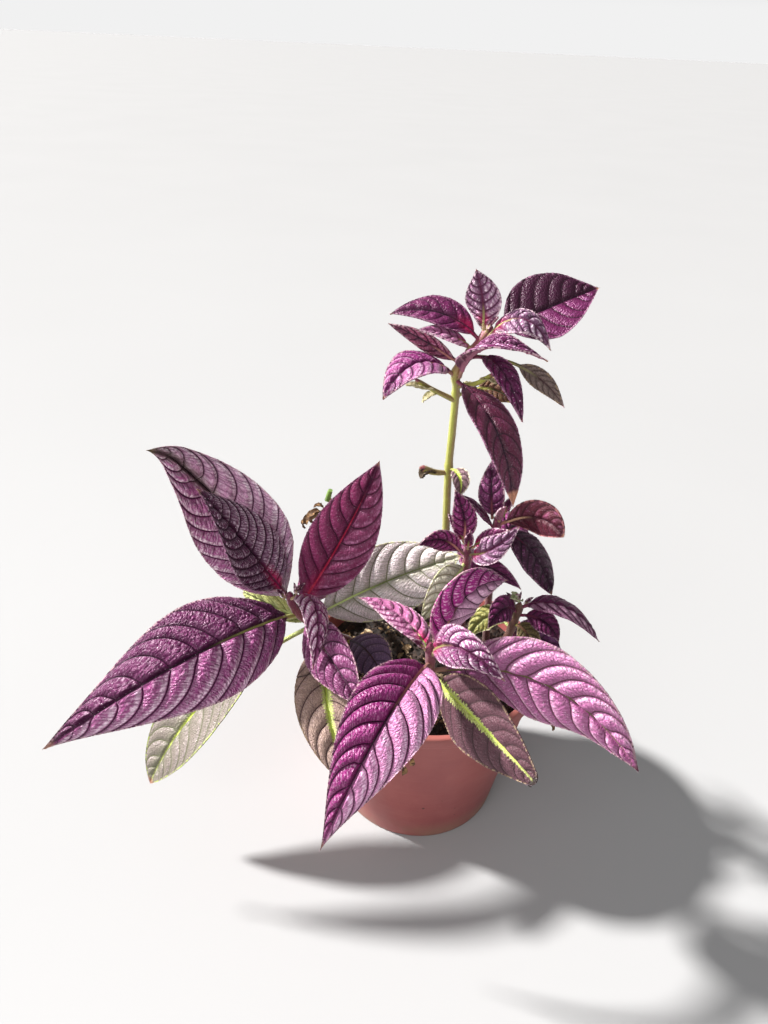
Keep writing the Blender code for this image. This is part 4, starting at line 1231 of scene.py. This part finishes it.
def ring_grid(path, radii, angles):
    """Rings of points round a path; radii has one value for each ring and side."""
    directions = unit(np.gradient(path, axis=0))
    across = unit(np.cross(directions, (0.25, 1.0, 0.1)))
    outward = np.cross(across, directions)
    return (path[:, None] + radii[..., None] * (across[:, None] * np.cos(angles)[None, :, None]
                                                - outward[:, None] * np.sin(angles)[None, :, None]))


def wrap_faces(rings, sides):
    """Faces round a tube, with the unwrapped ring and side of every corner."""
    ring, side = np.divmod(np.arange((rings - 1) * sides), sides)
    corner_rings = np.stack([ring, ring, ring + 1, ring + 1], axis=1)
    corner_sides = np.stack([side, side + 1, side + 1, side], axis=1)
    places = np.stack([corner_rings.ravel(), corner_sides.ravel()], axis=1)
    return corner_rings * sides + corner_sides % sides, places


def tube_arrays(path, radii, sides):
    """Closed tube with its layers: share of the length, way round, and millimetres of both."""
    angles = np.arange(sides) * 2 * math.pi / sides
    if radii.ndim == 1:
        radii = np.repeat(radii[:, None], sides, axis=1)
    rings = ring_grid(path, radii, angles)
    count = len(path) * sides
    caps = [[*range(sides - 1, -1, -1)], [*range(count - sides, count)]]
    faces, places = wrap_faces(len(path), sides)
    cap_places = np.divmod(np.concatenate(caps), sides)
    ring, side = np.concatenate([places, np.transpose(cap_places)]).T
    run = np.concatenate([[0], np.cumsum(np.linalg.norm(np.diff(path, axis=0), axis=1))])
    turn = side / sides
    girth = 2 * math.pi * radii.mean(axis=1)[ring]
    leaf = np.stack([run[ring] / run[-1], turn], axis=1)
    millimetres = np.stack([run[ring], turn * girth], axis=1)
    return rings.reshape(-1, 3), faces.tolist() + caps, leaf, millimetres


def join_arrays(parts):
    """One mesh's arrays from several."""
    starts = np.cumsum([0, *(len(part[0]) for part in parts)]).tolist()
    faces = [[corner + start for corner in face] for start, part in zip(starts, parts) for face in part[1]]
    layers = [np.vstack([part[index] for part in parts]) for index in range(2, len(parts[0]))]
    return [np.vstack([part[0] for part in parts]), faces, *layers]


def tube_piece(name, arrays, material, sharp=60):
    """A mesh object from a tube's arrays, with the layers that stem_material reads."""
    vertices, faces, leaf, millimetres = arrays
    item = mesh_piece(name, vertices, faces, [material], sharp=sharp)
    add_layer(item, "leaf", leaf)
    add_layer(item, "place", millimetres)
    return item


def stem_tube(name):
    """The stem, swollen where leaves grow and faintly four-sided, with its side shoots."""
    stem = STEMS[name]
    path = stem_path(stem)
    angles = np.arange(STEM_SIDES) * 2 * math.pi / STEM_SIDES
    radii = stem_radii(stem, path)[:, None] * (1 + 0.06 * np.cos(4 * angles))
    for height in sorted({leaf.height for leaf in LEAVES.values() if leaf.stem == name}):
        radii = radii + 0.45 * np.exp(-((path[:, 2] - height) / 1.6) ** 2)[:, None]
    below_top = np.linalg.norm(path - path[-1], axis=1)
    radii = radii * (0.35 + 0.65 * ease(below_top, 0, 3.0))[:, None]
    parts = [tube_arrays(path, radii, STEM_SIDES)]
    for twig in TWIGS.get(name, []):
        path = rounded_path(twig.points, STEM_STEP)
        share = np.linspace(0, 1, len(path))
        radius = twig.bottom_radius + (twig.top_radius - twig.bottom_radius) * share
        radius = radius * np.where(share > 0.8, np.sqrt(np.clip(1 - ((share - 0.8) / 0.2) ** 2, 0.04, 1)), 1)
        parts.append(tube_arrays(path, radius, STEM_SIDES // 2))
    return join_arrays(parts)


def make_stems():
    """A skin over every stem, in place of the solid one."""
    materials = {colour: stem_material(*look) for colour, look in STEM_LOOKS.items()}
    for name, stem in STEMS.items():
        item = tube_piece(name + "_skin", stem_tube(name), materials[stem.colour], sharp=50)
        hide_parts(name)


def make_stalks():
    """The green stub on the dried stem and the dark stalk on the left."""
    for name, (stalk, look) in STALKS.items():
        path = rounded_path(stalk.points, 0.8)
        radii = np.linspace(stalk.bottom_radius, stalk.top_radius, len(path))
        tube_piece(name, tube_arrays(path, radii, 12), stem_material(*look))


def turned(profile, sides):
    """Turn a closed outline of radius and height round the Z axis; a radius of 0 is one point."""
    vertices = []
    rings = []
    for radius, height in profile:
        if radius == 0:
            rings.append([len(vertices)] * sides)
            vertices.append((0.0, 0.0, height))
            continue
        rings.append([len(vertices) + side for side in range(sides)])
        vertices += circle(radius, height, sides)
    faces = []
    for low, high in zip(rings, rings[1:]):
        for side in range(sides):
            after = (side + 1) % sides
            corners = (low[side], low[after], high[after], high[side])
            faces.append(tuple(dict.fromkeys(corners)))
    return vertices, faces


def circle(radius, height, sides, shift=0.0):
    """Points round the Z axis; shift turns them by a share of one side."""
    angles = [2 * math.pi * (side + shift) / sides for side in range(sides)]
    return [(radius * math.cos(angle), radius * math.sin(angle), height) for angle in angles]


def pot_radius(height):
    """Outer radius of the tapered wall at a height."""
    top = POT_RIM_RADIUS - POT_LIP_OUTWARD
    return POT_BASE_RADIUS + (top - POT_BASE_RADIUS) * height / POT_HEIGHT


def pot_profile():
    """From the centre pad over the foot, the slightly wavy wall and the lip to the floor inside."""
    foot = POT_BASE_RADIUS
    rim = POT_RIM_RADIUS
    top = POT_HEIGHT
    lip = top - POT_LIP_HEIGHT
    foot_inner = foot - POT_FOOT_WIDTH
    floor_top = POT_RECESS + POT_FLOOR
    inner = rim - 2 * POT_WALL
    outline = [(0.0, 0.0), (POT_PAD_RADIUS, 0.0), (POT_PAD_RADIUS + POT_RECESS, POT_RECESS),
               (foot_inner - POT_RECESS, POT_RECESS), (foot_inner, 0.0), (foot - 0.8, 0.0),
               (foot - 0.2, 0.25), (foot + 0.1, 1.0)]
    for height in np.linspace(4.0, lip - 1.0, 26):
        ripple = 0.05 * math.sin(0.55 * height) + 0.03 * math.sin(1.7 * height)
        outline.append((pot_radius(height) + ripple, float(height)))
    outline += [(pot_radius(lip) + 0.05, lip - 0.2), (rim - 0.7, lip + 0.5), (rim - 0.15, lip + 1.0),
                (rim, lip + 1.7), (rim + 0.05, top - 3.0), (rim, top - 1.1), (rim - 0.3, top - 0.4),
                (rim - 0.9, top - 0.05), (inner + 1.0, top - 0.05), (inner + 0.35, top - 0.4),
                (inner, top - 1.2)]
    for height in np.linspace(lip - POT_WALL, floor_top, 20):
        outline.append((pot_radius(height) - POT_WALL, float(height)))
    outline.append((0.0, floor_top))
    return outline


def pot_material():
    """Faded plastic with brush marks, dust at the foot, scuffs, specks, a few marks and a painted highlight
    along the rim.
    """
    graph = Graph("pot plastic", 0.42)
    place = graph.place()
    height = place.split()[2]
    clouds = place.noise(28.0, 4.0, 0.6)
    grain = place.noise(900.0, 3.0, 0.6)
    brushed = place.mapped(Scale=(30.0, 30.0, 900.0)).noise(1.0)
    graph.colour = clouds.ease(0.35, 0.7).mix((152, 82, 79), (140, 72, 71))
    graph.paint(brushed.ease(0.5, 0.75, 0.0, 0.12), (168, 104, 96))
    graph.paint(height.ease(0.0, 16 * MM, 0.7, 0.0) * clouds.ease(0.35, 0.6), (150, 118, 98))
    scuffs = place.mapped(Scale=(40.0, 40.0, 300.0)).noise(3.0, 5.0, 0.7)
    graph.paint(scuffs.ease(0.66, 0.74, 0.0, 0.5), (190, 136, 120))
    specks, pick_colour = place.cells(130.0)
    pick = pick_colour.split()[0]
    graph.paint(specks.ease(0.05, 0.10, 1.0, 0.0) * pick.ease(0.90, 0.91), (96, 50, 44))
    for centre, radius, mark in POT_MARKS:
        distance = place.distance([MM * value for value in centre])
        graph.paint(distance.ease(0.6 * radius * MM, radius * MM, 0.9, 0.0), mark)
    # A painted highlight along the rim's top.
    lip = height.ease((POT_HEIGHT - 1.2) * MM, (POT_HEIGHT + 0.2) * MM)
    graph.paint(lip * 0.3, (196, 126, 110))
    graph.bump(grain + brushed * 0.5 + scuffs * 0.4, 0.05, 0.5)
    return graph.finish(Roughness=0.36 + clouds * 0.16 + scuffs * 0.1)


def make_pot():
    """The pot with its drain holes cut, in place of the solid one."""
    pot = mesh_piece("pot_shell", *turned(pot_profile(), POT_SIDES), [pot_material()], sharp=50)
    holes = bpy.data.collections.new("drain holes")
    bpy.context.scene.collection.children.link(holes)
    for centre in circle(DRAIN_RING_RADIUS, 2.0, DRAIN_COUNT):
        bpy.ops.mesh.primitive_cylinder_add(vertices=DRAIN_SIDES, radius=DRAIN_RADIUS * MM, depth=20 * MM,
                                            location=[MM * value for value in centre])
        cutter = bpy.context.object
        bpy.context.scene.collection.objects.unlink(cutter)
        holes.objects.link(cutter)
    step = pot.modifiers.new("drain", "BOOLEAN")
    step.operation = "DIFFERENCE"
    step.solver = "EXACT"
    step.operand_type = "COLLECTION"
    step.collection = holes
    evaluated = pot.evaluated_get(bpy.context.evaluated_depsgraph_get())
    mesh = bpy.data.meshes.new_from_object(evaluated)
    pot.modifiers.clear()
    pot.data = mesh
    for cutter in holes.objects[:]:
        bpy.data.objects.remove(cutter, do_unlink=True)
    bpy.data.collections.remove(holes)
    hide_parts("pot")


def soil_height(x, y):
    """Uneven top of the soil."""
    lumps = math.sin(0.13 * x + 1.0) * math.cos(0.11 * y) + 0.6 * math.sin(0.21 * y - 0.16 * x)
    return SOIL_TOP + SOIL_LUMP * lumps


def soil_material(name, dark, light, grain_size):
    """Grains with a tone each, darkened by clouds."""
    graph = Graph(name, 0.9)
    place = graph.place()
    clouds = place.noise(120.0, 5.0, 0.7)
    cells, tint = place.cells(1000.0 / grain_size)
    graph.colour = tint.split()[0].ease(0.2, 0.9).mix(dark, light)
    graph.paint(clouds.ease(0.4, 0.65, 0.0, 0.8), dark)
    graph.bump(cells * -0.8 + clouds, 0.35, 0.9)
    return graph.finish(Roughness=clouds.ease(0.35, 0.65, 0.75, 0.95))


def make_soil():
    """The bed of soil: lumpy on top and level at the pot's wall, down to just over the floor."""
    top_radius = pot_radius(SOIL_TOP) - POT_WALL - 0.15
    vertices = [(0.0, 0.0, soil_height(0, 0))]
    for ring in range(1, SOIL_RINGS + 1):
        radius = top_radius * ring / SOIL_RINGS
        level = 1.0 - max(0.0, (radius - top_radius + 2.5) / 2.5)
        for x, y, height in circle(radius, SOIL_TOP, SOIL_SIDES, 0.5 * (ring % 2)):
            height += (soil_height(x, y) - SOIL_TOP) * level
            crumbs = noise.fractal(Vector((0.45 * x, 0.45 * y, 2.0)), 0.7, 2.1, 4)
            clumps = noise.noise(Vector((0.13 * x, 0.13 * y, 7.0)))
            vertices.append((x, y, height + 0.75 * crumbs + 1.1 * clumps * level))
    floor_top = POT_RECESS + POT_FLOOR + GAP
    vertices += circle(pot_radius(floor_top) - POT_WALL - 0.3, floor_top, SOIL_SIDES)
    bands, _ = wrap_faces(SOIL_RINGS + 1, SOIL_SIDES)
    faces = [(0, 1 + side, 1 + (side + 1) % SOIL_SIDES) for side in range(SOIL_SIDES)]
    faces += (1 + bands[:, [0, 3, 2, 1]]).tolist()
    faces.append([*range(len(vertices) - 1, len(vertices) - SOIL_SIDES - 1, -1)])
    material = soil_material("soil dark", (26, 18, 14), (62, 44, 34), 1.6)
    soil = mesh_piece("soil_bed", vertices, faces, [material], sharp=70)
    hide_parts("soil")


def soil_spot(chance, within):
    """A random place on the soil's top, evenly spread."""
    radius = within * math.sqrt(chance.uniform())
    angle = chance.uniform(0, 2 * math.pi)
    x = radius * math.cos(angle)
    y = radius * math.sin(angle)
    return x, y, soil_height(x, y)


def chunk(chance, centre, size, flatness):
    """A small irregular lump: an icosahedron with uneven corners."""
    golden = (1 + math.sqrt(5)) / 2
    corners = np.array([(-1, golden, 0), (1, golden, 0), (-1, -golden, 0), (1, -golden, 0),
                        (0, -1, golden), (0, 1, golden), (0, -1, -golden), (0, 1, -golden),
                        (golden, 0, -1), (golden, 0, 1), (-golden, 0, -1), (-golden, 0, 1)]) / 1.9
    corners = corners * chance.uniform(0.65, 1.25, (12, 1)) * (1.0, chance.uniform(0.5, 1.0), flatness)
    turn, _ = np.linalg.qr(chance.normal(size=(3, 3)))
    if np.linalg.det(turn) < 0:
        turn[:, 0] = -turn[:, 0]
    faces = [(0, 11, 5), (0, 5, 1), (0, 1, 7), (0, 7, 10), (0, 10, 11), (1, 5, 9), (5, 11, 4),
             (11, 10, 2), (10, 7, 6), (7, 1, 8), (3, 9, 4), (3, 4, 2), (3, 2, 6), (3, 6, 8),
             (3, 8, 9), (4, 9, 5), (2, 4, 11), (6, 2, 10), (8, 6, 7), (9, 8, 1)]
    return corners @ turn.T * size + np.array(centre), faces


def make_crumbs():
    """Loose lumps of soil, pale chips and bits of dry leaf on the soil's top."""
    within = pot_radius(SOIL_TOP) - POT_WALL - 2.0
    for number, (name, (count, sizes, flatness, look)) in enumerate(CRUMBS.items()):
        chance = np.random.default_rng(40 + number)
        parts = []
        for _ in range(count):
            x, y, height = soil_spot(chance, within)
            size = chance.uniform(*sizes) * chance.uniform(0.6, 1.0)
            parts.append(chunk(chance, (x, y, height + 0.35 * size + 0.3), size, flatness))
        mesh_piece(name, *join_arrays(parts), [soil_material(*look)], sharp=20)


def make_buds():
    """Four folded leaflets round each shoot's growing point."""
    materials = [upper_material("bud upper", BUD_LOOK, BUD, 2.0, 5.0),
                 lower_material("bud lower", BUD_LOOK, 5.0)]
    for number, (stem_name, stem) in enumerate(STEMS.items()):
        if stem.colour == "dry stem":
            continue
        chance = np.random.default_rng(300 + number)
        start = chance.uniform(0, 360)
        for turn, (length, lean, heading) in enumerate(BUD_LEAFLETS):
            size = length * chance.uniform(0.9, 1.15) * BUD_SCALES.get(stem_name, 1.0)
            lean = math.radians(lean)
            leaf = Leaf(stem_name, stem.points[-1][2] - 0.5 - 0.7 * turn,
                        start + heading + chance.uniform(-20, 20), size * math.sin(lean),
                        size * math.cos(lean), 0.4 * size, arch=0.5, fold=30, stalk=0.05)
            make_leaf(f"{stem_name}_bud_{turn + 1}", leaf, BUD, materials, 400 + 10 * number + turn)


def scrap_arrays(scrap, chance):
    """A thin crumpled blade, closed, on a path that curls downwards."""
    rows = 11
    columns = 7
    share = np.linspace(0, 1, rows)
    across = np.linspace(-1, 1, columns)
    heading = math.radians(scrap.heading)
    climb = math.radians(scrap.climb)
    forward = np.array([math.cos(climb) * math.cos(heading), math.cos(climb) * math.sin(heading),
                        math.sin(climb)])
    side = np.array([-math.sin(heading), math.cos(heading), 0.0])
    above = np.cross(forward, side)
    turn = (scrap.curl * share)[:, None]
    steps = (forward * np.cos(turn) - above * np.sin(turn)) * scrap.length / (rows - 1)
    path = np.array(scrap.root) + np.vstack([np.zeros(3), np.cumsum(steps[:-1], axis=0)])
    upward = (above * np.cos(turn) + forward * np.sin(turn))[:, None]
    half = (scrap.width / 2 * np.sin(math.pi * (0.08 + 0.88 * share)) ** 0.8)[:, None]
    lift = 0.45 * half * across ** 2 + chance.normal(0, 0.05 * scrap.width, (rows, columns))
    edge = half * across * chance.uniform(0.85, 1.15, (rows, 1))
    top = path[:, None] + side * edge[..., None] + upward * lift[..., None]
    bottom = top - 0.3 * upward
    corner = np.arange(rows * columns).reshape(rows, columns)
    below = corner.size
    border = np.concatenate([corner[0, :-1], corner[:-1, -1], corner[-1, :0:-1], corner[:0:-1, 0]])
    after = np.roll(border, -1)
    walls = np.stack([after, border, border + below, after + below], axis=1)
    quads = grid_quads(rows, columns)
    faces = np.concatenate([quads, (quads + below)[:, ::-1], walls])
    return np.vstack([top.reshape(-1, 3), bottom.reshape(-1, 3)]), faces.tolist()


def scattered_strips():
    """Curled strips of old leaf and bark on the soil."""
    chance = np.random.default_rng(77)
    strips = []
    for _ in range(STRIP_COUNT):
        x, y, height = soil_spot(chance, STRIPS_WITHIN)
        strips.append(Scrap((x, y, height + 0.9), *(chance.uniform(*limits) for limits in STRIP_LIMITS)))
    return strips


def make_scraps():
    """Each group of scraps as one mesh."""
    for number, (name, scraps) in enumerate([*SCRAPS.items(), ("soil_strips", scattered_strips())]):
        chance = np.random.default_rng(60 + number)
        material = soil_material(name.replace("_", " "), *SCRAP_COLOURS[name], 1.3)
        mesh_piece(name, *join_arrays([scrap_arrays(scrap, chance) for scrap in scraps]), [material])


def hair_arrays(roots, ways, lengths, radius):
    """One thin three-sided spike for each root, in one mesh."""
    ways = unit(ways)
    side = unit(np.cross(ways, (0.3, 0.5, 0.81)))
    other = np.cross(ways, side)
    corners = [roots + radius * (side * math.cos(turn) + other * math.sin(turn))
               for turn in (0, 2 * math.pi / 3, 4 * math.pi / 3)]
    vertices = np.stack([*corners, roots + ways * lengths[:, None]], axis=1).reshape(-1, 3)
    first = 4 * np.arange(len(roots))[:, None]
    pattern = np.array([(0, 1, 3), (1, 2, 3), (2, 0, 3), (2, 1, 0)]).ravel()
    return vertices, (first + pattern).reshape(-1, 3).tolist()


def add_hairs(name, roots_and_ways, chance, lengths, radius, colour):
    """One mesh of hairs, with their lengths drawn between two limits."""
    roots, ways = (np.vstack(parts) for parts in zip(*roots_and_ways))
    vertices, faces = hair_arrays(roots, ways, chance.uniform(*lengths, len(roots)), radius)
    graph = Graph(name.replace("_hairs", " hair"), 0.4)
    graph.colour = graph.place().noise(90.0).mix(darker(colour, 0.8), colour)
    mesh_piece(name, vertices, faces, [graph.finish()], sharp=None)


def make_hairs(blades):
    """Short stiff hairs on the blades' margins and on the stems."""
    chance = np.random.default_rng(500)
    found = []
    for grid in blades:
        points = grid.upper()
        for column, inner in ((0, 1), (-1, -2)):
            keep = chance.uniform(0, 1, len(points)) < MARGIN_HAIR_SHARE
            outward = unit(points[:, column] - points[:, inner])
            forward = unit(np.gradient(points[:, column], axis=0))
            way = outward + 0.5 * forward + 0.4 * grid.upward[:, column]
            way = way + chance.normal(0, 0.25, way.shape)
            found.append((points[keep, column], way[keep]))
    add_hairs("margin_hairs", found, chance, (0.35, 0.8), 0.06, (226, 196, 208))
    found = []
    for stem in STEMS.values():
        path = stem_path(stem)
        radii = stem_radii(stem, path)[2:-1]
        path = path[2:-1]
        place = chance.integers(0, len(path), STEM_HAIRS_PER_RING * len(path))
        angle = chance.uniform(0, 2 * math.pi, len(place))
        way = np.stack([np.cos(angle), np.sin(angle), chance.uniform(0.1, 0.7, len(place))], axis=1)
        shift = chance.uniform(0, STEM_STEP, len(place))[:, None] * (0, 0, 1)
        found.append((path[place] + way * (1, 1, 0) * radii[place][:, None] + shift, way))
    add_hairs("stem_hairs", found, chance, (0.4, 1.0), 0.05, (224, 214, 190))


def make_floor():
    """A wide pale floor, which belongs to the stage."""
    size = 40.0
    mesh = bpy.data.meshes.new("floor")
    mesh.from_pydata([(-size, -size, 0), (size, -size, 0), (size, size, 0), (-size, size, 0)], [],
                     [(0, 1, 2, 3)])
    floor = bpy.data.objects.new("floor", mesh)
    bpy.context.scene.collection.objects.link(floor)
    graph = Graph("floor", 0.9)
    graph.colour = graph.place().noise(3.0).mix((170, 170, 171), (174, 174, 175))
    mesh.materials.append(graph.finish())


def add_light(name, kind, power, direction, colour=WHITE, place=(0, 0, 0), **settings):
    """A lamp that shines in a direction; its place and its power are in metres and in the tool's units."""
    lamp = bpy.data.lights.new(name, kind)
    lamp.energy = power
    lamp.color = rgb(colour)[:3]
    for setting, value in settings.items():
        setattr(lamp, setting, value)
    item = bpy.data.objects.new(name, lamp)
    item.location = place
    item.rotation_euler = Vector(direction).to_track_quat("-Z", "Y").to_euler()
    bpy.context.scene.collection.objects.link(item)


def make_lights():
    """A sun from the left, a soft fill from the front, and a sky that fades from the horizon upwards."""
    add_light("key light", "SUN", 8.5, (0.76, -0.14, -0.64), SUNLIGHT, angle=math.radians(5))
    place = Vector((-0.5, -1.1, 0.8))
    add_light("front fill", "AREA", 9, Vector((0, 0, 0.12)) - place, place=place, shape="DISK", size=1.2)
    world = bpy.data.worlds.new("studio")
    bpy.context.scene.world = world
    world.use_nodes = True
    tree = world.node_tree
    height = add_node(tree, "TexCoord")[0].split()[2]
    background = tree.nodes["Background"].inputs
    put(tree, background["Strength"], height.ease(*SKY_FADE))
    put(tree, background["Color"], WHITE)


def make_camera():
    """The photo's view."""
    yaw, pitch, roll = (math.radians(angle) for angle in (CAMERA_YAW, CAMERA_PITCH, CAMERA_ROLL))
    forward = Vector((math.sin(yaw) * math.cos(pitch), math.cos(yaw) * math.cos(pitch), -math.sin(pitch)))
    level = Vector((math.cos(yaw), -math.sin(yaw), 0))
    above = level.cross(forward)
    right = level * math.cos(roll) + above * math.sin(roll)
    up = above * math.cos(roll) - level * math.sin(roll)
    lens = bpy.data.cameras.new("camera")
    lens.sensor_width = SENSOR
    lens.lens = SENSOR * FOCAL_PIXELS / PICTURE_HEIGHT
    lens.clip_start = 0.01
    camera = bpy.data.objects.new("camera", lens)
    turn = Matrix((right, up, -forward)).transposed().to_4x4()
    camera.matrix_world = Matrix.Translation(Vector(CAMERA_PLACE) * MM) @ turn
    bpy.context.scene.collection.objects.link(camera)
    bpy.context.scene.camera = camera


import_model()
bpy.context.scene.view_settings.view_transform = "Standard"
make_camera()
blades = make_leaves()
make_buds()
make_stems()
make_scraps()
make_stalks()
make_hairs(blades)
make_pot()
make_soil()
make_crumbs()
make_floor()
make_lights()
